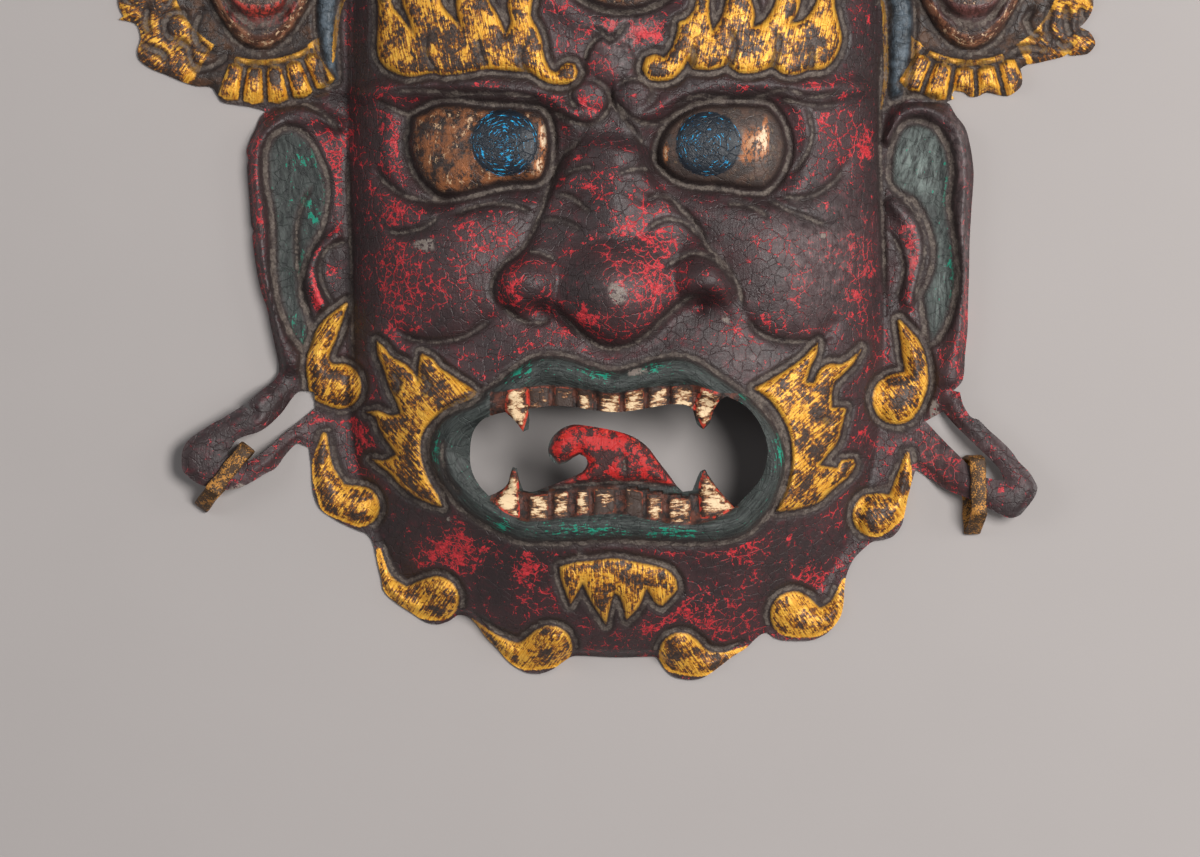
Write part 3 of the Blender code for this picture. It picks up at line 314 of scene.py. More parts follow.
CHASED = [
    [(-77, 16), (-72, 13.5), (-67, 11.5), (-62.5, 11.5)],
    [(-76.5, -5), (-75, -9), (-72, -12), (-67, -15), (-61, -16.5), (-50, -17.4)],
    [(-74, -25.5), (-70, -27), (-65, -26.5), (-60, -25), (-55, -21)],
    [(-52, -22), (-47, -19.5), (-41, -18), (-35, -18), (-29, -19.5), (-25, -22)],
    [(-16.5, -9), (-13, -7.3), (-9, -6.5), (-6, -7)],
    [(-20, -15.5), (-15, -15.5), (-11, -18), (-7, -22)],
    [(-24, -23.5), (-18, -23.3), (-13, -25), (-10, -27)],
    [(-28, -33), (-23, -34), (-18, -36.5)],
    [(1, -9), (4, -7.8), (8, -7), (12, -7)],
    [(9.5, -18), (12, -16), (16, -15.5), (19, -17), (22, -20.5), (26, -24.5)],
    [(10, -27), (14, -24), (19, -23), (24, -25), (28, -29.5)],
    [(-24, -20.5), (-22, -15), (-20, -10), (-17, -3), (-12, 1.5), (-9.5, 5)],
    [(61.5, 14), (63, 9), (63.5, 4), (62, -1), (59.5, -5), (56.5, -8.5)],
    [(73.5, -5), (72.5, -8.5), (69, -12), (64, -15), (58, -16), (52, -15)],
    [(48, -15.5), (52, -18), (56, -20), (60, -21.5), (65, -23.5), (70, -25)],
    [(35, -18), (40, -18), (46, -20), (50, -23)],
    [(-19, -10), (-22, -17), (-24, -22), (-26, -27), (-30, -33), (-35, -37), (-38.5, -42), (-39, -47),
     (-36, -52)],
    [(19, -17), (23, -21), (27, -26), (30, -32), (35, -37), (39, -43), (40.5, -48), (41, -54)],
    [(-36, -50), (-32, -54), (-27, -56), (-22, -55.5), (-20, -53.5)],
    [(-20, -50), (-15, -55), (-10, -60), (-5, -63.5), (0, -64.3), (6, -63), (11, -59.5), (15, -55.5), (20, -51),
     (24, -48), (28, -47.5), (32, -49)],
    [(15, -40), (20, -36), (26, -34), (31, -35.5), (36, -40), (39.5, -45)],
    [(-70, -58), (-65, -61), (-57, -62), (-48, -60.5), (-42, -57), (-38, -54)],
    [(42, -53), (45, -58), (50, -61), (57, -62), (65, -61.5), (70, -59.5)],
    [(-86.5, 5), (-86, -15), (-85.3, -30), (-84.8, -50), (-84.5, -65), (-83.5, -77)],
    [(87, 40), (86.5, 14), (86.6, -10), (87.6, -35), (88, -52)],
    [(-112, 14), (-108, 15), (-103, 15.7), (-99, 15), (-95, 12.5), (-91.5, 9.5), (-87.5, 5)],
    [(86, 11), (88, 14), (92, 17), (97, 18), (102, 17.5), (107, 17)],
    [(-96, -9), (-99, -13), (-101, -17), (-102.5, -22), (-103, -28), (-102.8, -34), (-102.3, -40), (-101, -46),
     (-99.5, -51), (-97.5, -55), (-96, -57.5)],
    [(-84.5, -29), (-88, -29.5), (-92, -31), (-94.5, -34), (-95.3, -38), (-94.7, -42), (-93, -46),
     (-89.5, -51)],
    [(89, -15), (93, -15), (97, -19), (100, -25), (101, -31), (100, -38), (98.5, -44), (97, -52)],
    [(88.5, -25.5), (91, -28.5), (93, -33), (93.8, -38), (93, -43), (92, -47), (92.5, -50)],
    [(-54, -92), (-55, -98), (-53, -106), (-48, -112)],
    [(3, -98), (3.5, -104)],
    [(-25, -110), (-23, -109.5), (-10, -107.5), (0, -107), (10, -107.3), (20, -109)],
    [(-11, 20.5), (-7, 21.3), (-4, 20), (-2, 17), (-1.5, 13), (-4, 9), (-8, 7), (-13, 8), (-18, 10.5),
     (-22, 13)],
    [(1, 18), (3, 20.8), (7, 21.5), (11, 20), (12.5, 17), (11, 14.5), (9.5, 13)],
    [(0, 16), (2, 12.5), (6, 9), (10, 7.5), (15, 8), (20, 11)],
    [(-3.5, 20.5), (-1, 16.5), (0, 13), (3, 9), (6, 5.5), (9, 1.5), (11, -1)],
    [(15, 11), (20, 13.5), (25, 16), (32, 16.5), (40, 15.5), (47, 16.5), (52, 18), (57, 18), (62, 16.5),
     (68, 17), (73, 19), (76, 20.5)],
    [(52, 16), (57, 15), (62, 14), (67, 13.5), (73, 15)],
    [(-75, 17.5), (-65, 18.5), (-52, 17.5), (-40, 17.2), (-30, 16.6), (-20, 14)],
    [(-13.5, 19), (-14, 16), (-13, 13.5), (-11, 12.5)],
    [(-6, 39), (-3.5, 36), (-1, 34), (2, 37), (4, 40.5)],
    [(-9, 27), (-8.5, 31), (-6, 34.5), (-3, 36)],
    [(-59.5, 36.5), (-60.5, 32), (-59.5, 28), (-56.5, 24)],
    [(-43.5, 35), (-43, 31), (-41.5, 27.5), (-40, 25.5)],
    [(-29, 33.5), (-30, 29), (-29, 25), (-26, 23)],
    [(25, 33), (25.5, 29), (24.5, 25)],
    [(36.5, 38), (38.5, 34), (38, 29), (35.5, 25)],
    [(52.5, 37.5), (52.5, 32), (51.5, 28), (50.5, 24.5)],
    [(63, 33), (63.5, 29), (62.5, 24.5)],
    [(-71.5, -71.5), (-69, -75), (-70, -77.5), (-72, -77)],
    [(-61.5, -72), (-59, -76), (-60.5, -78), (-62, -77)],
    [(66, -87), (68.5, -86.5), (69.5, -89)],
]
LEAF_LINES = [
    [(-141.5, 36), (-145, 38), (-146, 42), (-143.5, 45), (-139.5, 45), (-137.8, 42)],
    [(-143, 33.5), (-140.5, 35.5), (-138, 33.5), (-137.2, 29.5), (-135, 27), (-131, 27.5), (-127, 30),
     (-125, 33)],
    [(-154, 35), (-149, 33), (-146, 31.5), (-145.5, 29)],
    [(-133.5, 46), (-136, 40), (-135, 35), (-130.5, 32)],
    [(-151, 47), (-152, 42), (-150.5, 38)],
    [(136, 46.5), (133.5, 42.5), (135.5, 38.5), (139, 37)],
    [(141.5, 47), (140.5, 40), (142, 35)],
    [(146.8, 47), (147, 41), (148.5, 37)],
    [(151.8, 47), (152, 41), (153.5, 37)],
    [(127.5, 31), (132, 33.4), (137, 33.4), (142, 32.5)],
    [(143, 36), (146, 34.2), (149, 34.8)],
]
# Teeth that are stained dark, as x, y, half width and half height
STAINS = [
    (-17, -80.5, 7, 6), (-26, -79, 3, 4), (-7, -80.5, 3, 4), (7, -114, 4, 5), (-4, -113, 3, 4), (27, -117, 4, 3),
]
BROW_RIDGES = [
    [(-82, 18.5, 3.0), (-60, 19, 3.4), (-40, 18.4, 3.4), (-24, 16, 3.4), (-14, 11.4, 3.0), (-7, 10.2, 3.0)],
    [(80, 20, 3.0), (60, 18.6, 3.4), (40, 18.4, 3.6), (24, 16.6, 3.4), (13, 11.4, 3.0), (6, 10.6, 3.0)],
]
BROW_KNOTS = [(-8.0, 16.4, 5.6), (6.4, 16.6, 5.6), (-1.0, 27.0, 6.4)]

# The crown's skulls, as x, y, tilt, size, and the lean and spacing of the petals below in degrees
SKULLS = [
    (-114.5, 60.0, 0.0, 1.0, 7.5, 10.8),
    (-73.0, 118.0, 26.0, 1.0, 0.0, 11.4),
    (0.0, 138.0, 0.0, 1.06, 0.0, 11.4),
    (73.0, 118.0, -26.0, 1.0, 0.0, 11.4),
    (115.5, 60.0, 0.0, 1.0, -3.0, 12.0),
]
SKULL_HALF_WIDTH = 18.5
SKULL_HALF_HEIGHT = 27.0
SOCKET_X = 7.4
SOCKET_Y = 5.2
PETALS_IN_FRINGE = 5
FRINGE_RADIUS = 38.5
PETAL_HALF_LENGTH = 5.8
COLLAR_RADIUS = 31.1
CROWN_BAND = [
    (-91.5, 24, 2.2), (-93, 48, 3.4), (-84, 78, 3.8), (-56, 99, 3.8), (0, 109, 3.8),
    (56, 99, 3.8), (84, 78, 3.8), (92.8, 48, 4.0), (92.6, 30, 3.6), (91.4, 19, 2.4),
]
GOLD_LINES = [
    [(-84, 58, 0.5), (-88.5, 47.4, 0.6), (-89.8, 42, 0.7), (-90.5, 35, 0.6), (-91, 29, 0.3)],
    [(84, 58, 0.5), (87.4, 47, 0.6), (88.0, 40, 0.7), (88.3, 25, 0.7), (87.5, 19, 0.6), (86.5, 14, 0.3)],
]

# Where red shows through the dark lacquer, as x, y, half width, half height and strength
RED_PATCHES = [
    (-50, -129, 9, 5, 1.0), (-27, -135, 5, 5, 1.0), (41, -129, 4, 4, 0.9), (63, -138, 5, 3, 0.8),
    (50, -57, 5, 5, 0.7), (-70, -40, 6, 9, 0.5), (-33, -45, 4, 4, 0.9), (81, 2, 2, 5, 1.0), (10, 37, 8, 6, 1.1),
    (-1, 38, 7, 4, 1.5), (-71, 4, 4, 9, 0.8), (-95.5, -41, 2.6, 11, 1.5), (97.5, -34, 3, 14, 1.1),
    (-72, -68, 4, 10, 0.7), (-82, -92, 4, 10, 0.8), (-91, -6, 3, 14, 0.8), (-114, -10, 2, 14, 0.7),
    (-114, -50, 2, 10, 0.8), (-30, -70, 10, 4, 0.6), (10, -30, 12, 8, 0.5), (-8, -12, 9, 6, 0.6),
    (114, -50, 2, 20, 0.7), (-20, 16, 6, 3, 0.8), (6, -27, 8, 4, 0.8), (12, -42, 6, 6, 0.7),
    (56, -75, 3, 3, 0.5), (98, -20, 3, 4, 0.8), (78, -44, 4, 12, 0.3), (66, 12, 5, 8, 0.45),
    (42, 19, 14, 2, 0.7), (-10, -55, 5, 4, 0.8), (62, 18, 14, 3, 0.6), (-50, 18, 20, 2.5, 0.6),
    (-65, -21, 9, 4, 0.8), (-35, -19, 12, 2, 0.7), (-117, 14, 8, 2, 0.7), (-30, 6, 50, 40, 0.12),
    (95, -100, 12, 8, 0.1), (20, -150, 12, 8, 0.7), (0, 60, 60, 20, 0.4), (-8, 12, 8, 8, 0.6),
    (0, -129, 44, 4, 0.4), (96, -60, 6, 8, 0.6), (-40, -30, 10, 8, 0.3), (60, -8, 12, 8, 0.3),
]
# Where turquoise is left on the slate green, as x, y, half width and half height
JADE_PATCHES = [
    (-32, -71, 7, 3), (-6, -72.5, 6, 2), (12, -70, 5, 1.5), (42, -79, 4, 2), (53, -95, 2, 6), (-57, -97, 2, 7),
    (-36, -121, 4, 2.5), (-10, -122, 12, 2), (20, -123, 10, 2), (-101, -63, 3, 4), (-97, -21, 4, 3),
    (-95, 1, 3, 4), (-101.5, -40, 1.5, 9), (110, -42, 1.4, 18), (108, -14, 1.2, 8), (-99, -17, 2, 4),
    (-100, -3, 5, 2), (-93.5, -12, 1.2, 9), (-105, -57, 2, 3),
]
# Where the paint is rubbed to bare grey metal
RUBS = [
    (-60, -31, 4.5, 2.0), (1, -47, 3.5, 3.5), (36, -54, 1.6, 1.6), (42, -60, 1.4, 1.4), (52, -65.5, 3, 1),
    (25, -63, 1.6, 1.2), (67, -28, 1.0, 1.0), (-53, -118.8, 0.8, 0.8), (-120, -109, 6, 1.0), (104, -84, 1.6, 4),
    (8, -72, 4, 1.6),
]
# Where a grey sheen of the light is painted on the lacquer and the slate green, mostly on the right, as x, y,
# half width, half height and strength
PAINTED_SHEEN_PATCHES = [
    (99, -4, 8, 12, 0.65), (106, -42, 3, 20, 0.45), (97, -34, 4, 14, 0.60), (66, -34, 14, 16, 0.48),
    (111, 2, 4, 16, 0.50), (114, -36, 2.5, 24, 0.55), (2, 36, 9, 8, 0.75), (104, -96, 12, 10, 0.30),
    (0, -46, 9, 8, 0.25), (46, -68, 12, 6, 0.30), (-20, -100, 4, 3, 0.2),
]
# Cream and copper left on the whites of the eyes, as x, y, half width, half height and strength
EYE_LIGHTS = [
    (-22.4, 4, 1.5, 6, 1.0), (-23.8, -6, 1.6, 3.5, 0.9), (-28, -11.5, 3, 1.2, 0.8), (-48, 7.5, 4, 1.0, 0.8),
    (-49, 1, 0.9, 3.4, 0.9), (-53.5, 1, 0.7, 3, 0.6), (-48, -8.5, 5, 3, 0.5), (-58, 2, 4, 5, 0.35),
    (44, 1, 3.5, 5, 0.75), (48.5, 3, 0.9, 6, 1.0), (42, -3, 2.5, 1, 0.9), (16.5, -2, 0.9, 4, 0.7),
]
# The layers of soft spots: each one's patches, and how far they spread beyond their half sizes
SPOTS = {
    "ruddy": (RED_PATCHES, 1.3), "jade": (JADE_PATCHES, 1.2), "rub": (RUBS, 1.0), "pale": (PAINTED_SHEEN_PATCHES, 1.0),
    "lit": (EYE_LIGHTS, 1.0), "stain": (STAINS, 1.0),
}
# What a paint layer holds far outside its areas
OUTSIDE = -9.0
# The mouth's middle, which the lips' brush strokes run round
MOUTH_MIDDLE = (-3.0, -97.0)


def smooth(share):
    """0 below 0, 1 above 1, with an easy slope between."""
    share = np.clip(share, 0.0, 1.0)
    return share * share * (3 - 2 * share)


def curve(points, closed=False, step=1.0, corner=52.0):
    """Points about a step apart on a curve that is smooth but for its corners. Columns after x, y run along."""
    p = np.asarray(points, float)
    n = len(p)
    ends = n if closed else n - 1
    leap = np.array([p[(i + 1) % n] - p[i] for i in range(ends)])
    length = np.hypot(leap[:, 0], leap[:, 1])
    going = leap / length[:, None]
    into, out = np.empty_like(p), np.empty_like(p)
    for i in range(n):
        a, b = (i - 1) % ends, i % ends
        if not closed and i in (0, n - 1):
            into[i] = out[i] = going[0 if i == 0 else -1]
            continue
        turn = math.degrees(math.acos(np.clip(going[a, :2] @ going[b, :2], -1, 1)))
        if turn > corner:
            into[i], out[i] = going[a], going[b]
        else:
            into[i] = out[i] = (p[(i + 1) % n] - p[i - 1]) / (length[a] + length[b])
    pieces = []
    for i in range(ends):
        j = (i + 1) % n
        count = max(1, round(length[i] / step))
        u = (np.arange(count) / count)[:, None]
        pieces.append(
            (2 * u**3 - 3 * u**2 + 1) * p[i] + (u**3 - 2 * u**2 + u) * length[i] * out[i]
            + (3 * u**2 - 2 * u**3) * p[j] + (u**3 - u**2) * length[i] * into[j]
        )
    if not closed:
        pieces.append(p[-1:])
    return np.vstack(pieces)


def near(at, line, margin):
    """Which points lie within a margin of a line's box."""
    low, high = line[:, :2].min(0) - margin, line[:, :2].max(0) + margin
    return np.flatnonzero(((at > low) & (at < high)).all(1))


def line_distance(at, line, margin=6.0):
    """How far each point is from a line, and the share of the line's points passed there."""
    distance = np.full(len(at), 99.0)
    share = np.zeros(len(at))
    picked = near(at, line, margin)
    picked = picked[np.argsort(at[picked, 0], kind="stable")]
    here = at[picked]
    best, where = np.full(len(here), 99.0), np.zeros(len(here))
    low = np.searchsorted(here[:, 0], np.minimum(line[:-1, 0], line[1:, 0]) - margin)
    high = np.searchsorted(here[:, 0], np.maximum(line[:-1, 0], line[1:, 0]) + margin)
    for i in range(len(line) - 1):
        a, along = line[i, :2], line[i + 1, :2] - line[i, :2]
        some = here[low[i] : high[i]] - a
        t = np.clip(some @ along / max(along @ along, 1e-12), 0, 1)
        d = np.hypot(some[:, 0] - t * along[0], some[:, 1] - t * along[1])
        nearer = np.flatnonzero(d < best[low[i] : high[i]])
        best[low[i] + nearer] = d[nearer]
        where[low[i] + nearer] = (i + t[nearer]) / (len(line) - 1)
    distance[picked], share[picked] = best, where
    return distance, share


def tapers(at, line):
    """For each stretch of a tapering line, how far each point is from it and its half width there."""
    for a, b in zip(line[:-1], line[1:]):
        along = b[:2] - a[:2]
        t = np.clip((at - a[:2]) @ along / max(along @ along, 1e-12), 0, 1)
        yield np.hypot(*(at - a[:2] - t[:, None] * along).T), a[2] + (b[2] - a[2]) * t


def stroke_depth(at, strokes, margin=6.0):
    """How deep each point is inside a union of tapering strokes; negative outside."""
    depth = np.full(len(at), -99.0)
    for points in strokes:
        line = curve(points)
        picked = near(at, line, margin + line[:, 2].max())
        best = np.full(len(picked), -99.0)
        for distance, half in tapers(at[picked], line):
            best = np.maximum(best, half - distance)
        depth[picked] = np.maximum(depth[picked], best)
    return depth


def area_depth(at, outline, margin=6.0):
    """How deep each point is inside a closed outline, up to a margin; negative outside."""
    ring = np.vstack([outline, outline[:1]])
    depth = np.full(len(at), -margin)
    picked = near(at, ring, margin)
    picked = picked[np.argsort(at[picked, 1], kind="stable")]
    here = at[picked]
    distance = np.minimum(line_distance(here, ring, margin)[0], margin)
    inside = np.zeros(len(here), bool)
    low = np.searchsorted(here[:, 1], np.minimum(ring[:-1, 1], ring[1:, 1]))
    high = np.searchsorted(here[:, 1], np.maximum(ring[:-1, 1], ring[1:, 1]))
    for a, b, i, j in zip(ring[:-1], ring[1:], low, high):
        if j > i:
            run = (here[i:j, 1] - a[1]) / (b[1] - a[1])
            inside[i:j] ^= here[i:j, 0] < a[0] + run * (b[0] - a[0])
    depth[picked] = np.where(inside, distance, -distance)
    return depth


def sheet_depth(at, rings, margin):
    """How deep each point is inside the sheet: in the first ring and outside the others."""
    holes = [-area_depth(at, ring, margin) for ring in rings[1:]]
    return np.minimum.reduce([area_depth(at, rings[0], margin), *holes])


def mound(at, points, margin=45.0):
    """A soft rise of height 1 along a line whose points carry its half width."""
    line = curve(points, step=2.0)
    best = np.zeros(len(at))
    picked = near(at, line, margin)
    for distance, half in tapers(at[picked], line):
        best[picked] = np.maximum(best[picked], np.exp(-((distance / half) ** 2)))
    return best


def hump(at, x, y, half_x, half_y):
    """A soft round rise of height 1."""
    return np.exp(-(((at[:, 0] - x) / half_x) ** 2) - ((at[:, 1] - y) / half_y) ** 2)


def turned(at, x, y, tilt, size):
    """The points in a tilted and scaled frame of their own around x, y."""
    c, s = math.cos(math.radians(tilt)), math.sin(math.radians(tilt))
    moved = (at - (x, y)) / size
    return np.column_stack([moved[:, 0] * c + moved[:, 1] * s, -moved[:, 0] * s + moved[:, 1] * c])


def scalloped(stretch):
    """A stretch of the crown's edge, dipped between small round lobes."""
    line = curve(stretch, step=EDGE_STEP)
    run = np.append(0, np.cumsum(np.hypot(*np.diff(line, axis=0).T)))
    lobes = max(1, round(run[-1] / LOBE_WIDTH))
    way = np.gradient(line, axis=0)
    inward = np.column_stack([-way[:, 1], way[:, 0]]) / np.hypot(*way.T)[:, None]
    dip = LOBE_DIP * (1 - np.abs(np.sin(np.pi * lobes * run / run[-1])) ** 0.7)
    return (line + inward * dip[:, None])[:-1]


def whole_outline():
    """The sheet's cut edge: the drawn part and the lobed crown above it."""
    lower = curve(OUTLINE, step=EDGE_STEP, corner=60.0)[:-1]
    return np.vstack([lower, *[scalloped(stretch) for stretch in CROWN_EDGE]])


class Relief:
    """The height of the sheet's upper side and how deep each point is in each painted area, in millimetres."""

    def __init__(self, at):
        self.at = at
        self.paint = {}
        self.groove = np.full(len(at), 9.0)
        self.strokes = np.array(at)
        self.height = self.build()

    def chase(self, distance, width=1.8, fall=0.8, strength=1.0):
        """Cuts a chased line where the distance to it is small, and keeps the distance for its dust and for the
        painted shade along its flanks.
        """
        reach = distance - width / 2 + 3.0 * (1 - np.minimum(strength, 1.0))
        self.groove = np.minimum(self.groove, reach)
        edge = np.clip(distance / (width / 2), 0, 3)
        return strength * fall * (-np.exp(-(edge**3)) + 0.25 * np.exp(-(((edge - 1.75) / 0.5) ** 2)))

    def brush(self, where, across, along):
        """Turns the brush strokes: their fine side runs along one value and their long side along the other."""
        self.strokes[where] = np.column_stack([across, along])[where]

    def lay(self, name, depth):
        """Adds an area to a paint layer, as how deep each point is inside it."""
        bare = np.full(len(self.at), OUTSIDE)
        self.paint[name] = np.maximum(self.paint.get(name, bare), np.clip(depth, OUTSIDE, 30))

    def face_body(self):
        at = self.at
        side = np.abs(at[:, 0] - FACE_MIDDLE) / FACE_HALF_WIDTH
        above = np.maximum(at[:, 1] - TEMPLE_Y, 0) / (FACE_TOP - TEMPLE_Y)
        below = np.maximum(JAW_Y - at[:, 1], 0) / (JAW_Y - CHIN_Y)
        n = FACE_SQUARENESS
        out = (side**n + above**n + below**n) ** (1 / n)
        self.outside = (out - 1) * FACE_HALF_WIDTH
        softness = 0.84 + 0.38 * smooth(below * 1.4)
        return FACE_HEIGHT * np.clip(1 - out**4, 0, 1) ** softness

    def eyes(self):
        at = self.at
        height = np.zeros(len(at))
        for outline in (LEFT_EYE, RIGHT_EYE):
            depth = area_depth(at, curve(outline, closed=True), 20.0)
            bulge = 1 - (1 - np.clip((depth - 1.2) / 11.0, 0, 1)) ** 2
            height += EYEBALL_HEIGHT * np.sqrt(bulge) - 4.2 * smooth((depth + 7) / 7)
            height += self.chase(np.abs(depth), 2.2, 1.0)
            self.lay("eye", depth - 1.2)
        iris = np.full(len(at), 99.0)
        for x, y, radius in IRISES + [(THIRD_EYE[0], THIRD_EYE[1], 8.6)]:
            out = np.hypot(at[:, 0] - x, at[:, 1] - y)
            iris = np.minimum(iris, out * 10.8 / radius)
            height += 0.5 * smooth((radius - out) / 1.2)
            self.brush(out < radius + 3, out, np.arctan2(at[:, 1] - y, at[:, 0] - x) * 7.0)
        x, y, half_x, half_y = THIRD_EYE
        out = np.hypot((at[:, 0] - x) / half_x, (at[:, 1] - y) / half_y)
        height += EYEBALL_HEIGHT * 0.8 * np.sqrt(np.clip(1 - out**2, 0, 1))
        height += self.chase(np.abs(1 - out) * half_y, 2.4, 1.2)
        height += 2.0 * np.exp(-(((out - 1.36) * half_y / 2.6) ** 2))
        self.lay("eye", (1 - out) * half_y - 1.2)
        self.paint["iris"] = iris
        return height

    def nose(self):
        at = self.at
        depth = area_depth(at, curve(NOSE, closed=True, step=2.0), 20.0)
        rise = 0.42 * mound(at, [(0, 6, 9.0), (0, -12, 12.0), (0.5, -30, 17.0)])
        rise = np.maximum(rise, 1.0 * hump(at, 1, -46, 19, 18))
        rise = np.maximum(rise, 0.66 * hump(at, -27, -43.5, 12, 11))
        rise = np.maximum(rise, 0.72 * hump(at, 28.5, -42.5, 12, 10))
        height = NOSE_HEIGHT * rise * smooth((depth + 2.5) / 7.0)
        for x, y in ((-24.5, -51.6), (27.0, -50.6)):
            height -= 3.4 * hump(at, x, y, 3.4, 2.6)
        return height

    def lips_and_cheeks(self):
        at = self.at
        height = CHEEK_HEIGHT * (hump(at, -55, -38, 19, 19) + hump(at, 55, -38, 20, 20))
        depth = area_depth(at, curve(LIP_OUTER, closed=True), 20.0)
        height += 2.5 * smooth((depth + 14) / 14)
        height += LIP_HEIGHT * np.exp(-(((depth - 4.2) / 4.0) ** 2))
        height += self.chase(np.abs(depth + 0.8), 2.2, 0.9)
        height += 3.0 * hump(at, 0, -148, 30, 14)
        self.lay("green", depth)
        x, y = MOUTH_MIDDLE
        self.brush((depth > -1) & (depth < 16), depth, np.arctan2(at[:, 1] - y, at[:, 0] - x) * 40.0)
        return height

    def teeth(self):
        at = self.at
        height = np.zeros(len(at))
        for (gum, spans), side in ((UPPER_TEETH, 1), (LOWER_TEETH, -1)):
            gum = curve(gum)
            order = np.argsort(gum[:, 0])
            line = np.interp(at[:, 0], gum[order, 0], gum[order, 1])
            below = (line - at[:, 1]) * side
            near_mouth = (np.abs(at[:, 0]) < 40) & (below > -3) & (below < 9.5)
            gum_depth = np.minimum(below, 40 - np.abs(at[:, 0]))
            self.lay("gum", np.where(near_mouth, gum_depth, OUTSIDE))
            height -= 1.2 * smooth((below + 1) / 2) * near_mouth
            for low, high in spans:
                depth = np.minimum.reduce([at[:, 0] - low, high - at[:, 0], below - 0.2, 8.6 - below])
                depth = np.where(near_mouth, depth, OUTSIDE)
                height += 1.5 * smooth((depth + 0.4) / 1.2)
                self.lay("tooth", depth)
        for fang in FANGS:
            depth = area_depth(at, curve(fang, closed=True), 5.0)
            height += 2.2 * smooth((depth + 0.4) / 2.0)
            self.lay("tooth", depth + 0.2)
            self.lay("fang", depth)
        depth = area_depth(at, curve(TONGUE, closed=True), 6.0)
        height += 2.4 * smooth((depth + 0.5) / 4.0)
        self.lay("tongue", depth)
        return height

    def ears(self):
        at = self.at
        height = np.zeros(len(at))
        for part, points in EARS.items():
            share = 0.6 if "tragus" in part else 1.0
            height = np.maximum(height, EAR_HEIGHT * share * mound(at, points, 14.0))
        out = np.abs(at[:, 0])
        plate = smooth((out - 84) / 3) * smooth((121 - out) / 5)
        height += 1.6 * plate * smooth((at[:, 1] + 80) / 14) * smooth((12 - at[:, 1]) / 6)
        for outline in (LEFT_CONCHA, RIGHT_CONCHA):
            depth = area_depth(at, curve(outline, closed=True))
            height += self.chase(np.abs(depth), 2.4, 0.8) - 0.5 * smooth(depth / 3)
            self.lay("green", depth - 1.0)
        return height

    def brows(self):
        at = self.at
        height = BROW_HEIGHT * 0.8 * np.maximum.reduce([mound(at, ridge, 12.0) for ridge in BROW_RIDGES])
        for x, y, radius in BROW_KNOTS:
            out = np.hypot(at[:, 0] - x, at[:, 1] - y)
            height = np.maximum(height, BROW_HEIGHT * np.sqrt(np.clip(1 - (out / (radius * 1.25)) ** 2, 0, 1)))
        return height

    def gilt(self):
        at = self.at
        height = np.zeros(len(at))
        for strokes in CURLS:
            depth = stroke_depth(at, [strokes])
            x, y, radius = strokes[-1]
            height += CURL_HEIGHT * smooth((depth + 0.8) / 5.0)
            height += 1.2 * hump(at, x, y, radius * 0.5, radius * 0.5)
            height += self.chase(np.abs(depth + 1.3), 2.2, 1.0, smooth((self.inside - 1.4) / 1.2))
            self.lay("gold", depth)
            own = turned(at, 0, 0, math.copysign(35, x), 1.0)
            self.brush(depth > -2, own[:, 0], own[:, 1])
        tilts = ((LEFT_BROW, 12), (RIGHT_BROW, -12), (LEFT_CHEEK, 42), (RIGHT_CHEEK, -48), (CHIN_TUFT, 4))
        for outline, tilt in tilts:
            depth = area_depth(at, curve(outline, closed=True))
            own = turned(at, 0, 0, tilt, 1.0)
            self.brush(depth > -2, own[:, 0], own[:, 1])
            height += FLAME_HEIGHT * smooth((depth + 0.6) / 3.0)
            height += self.chase(np.abs(depth + 1.3), 2.2, 0.9)
            self.lay("gold", depth)
        return height

    def crown(self):
        at = self.at
        band = stroke_depth(at, [CROWN_BAND])
        height = 2.0 * smooth(band / 2.4)
        self.lay("band", band)
        x_run = np.arctan2(at[:, 0], at[:, 1] - 10) * 92
        dots = np.hypot((x_run / 3.2) % 1.0 - 0.5, band / 3.2 - 0.95)
        height -= 0.5 * np.exp(-((dots / 0.22) ** 2)) * (band > 0)
        height += self.chase(np.abs(band + 0.6), 1.6, 0.7)
        leaf, heads = np.zeros(len(at)), np.zeros(len(at))
        flames, flame_share = np.full(len(at), 9.0), np.zeros(len(at))
        gilt, closest = np.full(len(at), OUTSIDE), np.full(len(at), 99.0)
        for x, y, tilt, size, lean, spacing in SKULLS:
            own = turned(at, x, y, tilt, size)
            turn = np.arctan2(own[:, 0], own[:, 1])
            reach = np.hypot(own[:, 0], own[:, 1])
            rise = 2.2 * np.exp(-(((reach - 34) / 6) ** 2))
            leaf = np.maximum(leaf, rise * smooth((2.1 - np.abs(turn)) / 0.3))
            heads = np.maximum(heads, self.skull(own))
            heads = np.maximum(heads, self.fringe(own, lean, spacing))
            nearest = reach < closest
            closest = np.minimum(closest, reach)
            line = np.abs(((turn * 3.2 + 0.5 + 0.35 * np.sin(reach * 0.22)) % 1.0) - 0.5) * reach / 3.2 * size
            share = smooth((reach - 26) / 2) * smooth((2.2 - np.abs(turn)) / 0.2) * smooth((50 - reach) / 3)
            flames = np.where(nearest, line, flames)
            flame_share = np.where(nearest, share, flame_share)
            gilt = np.maximum(gilt, np.minimum(58 - reach, (2.6 - np.abs(turn)) * 20))
            self.brush(nearest & (reach > 29) & (self.outside > 4), turn * 30, reach)
        clear = (heads < 0.6) & (at[:, 1] > 47)
        chased = self.chase(flames, 1.9, 0.8, flame_share * clear)
        gilt = np.minimum.reduce([gilt, closest - 29.5, self.outside - 9])
        self.lay("gold", np.where((heads < 0.5) & (at[:, 1] > 12), gilt, OUTSIDE))
        soot = np.minimum.reduce([52 - closest, self.outside - 5, (at[:, 1] - 17) * 2])
        self.lay("soot", soot - 40 * (band > 0.3))
        self.paint["band"] = np.minimum(self.paint["band"], -0.5 - self.paint["skull"])
        self.lay("gold", stroke_depth(at, GOLD_LINES))
        return height + chased + np.where(heads > 0.3, heads, np.maximum(heads, leaf))

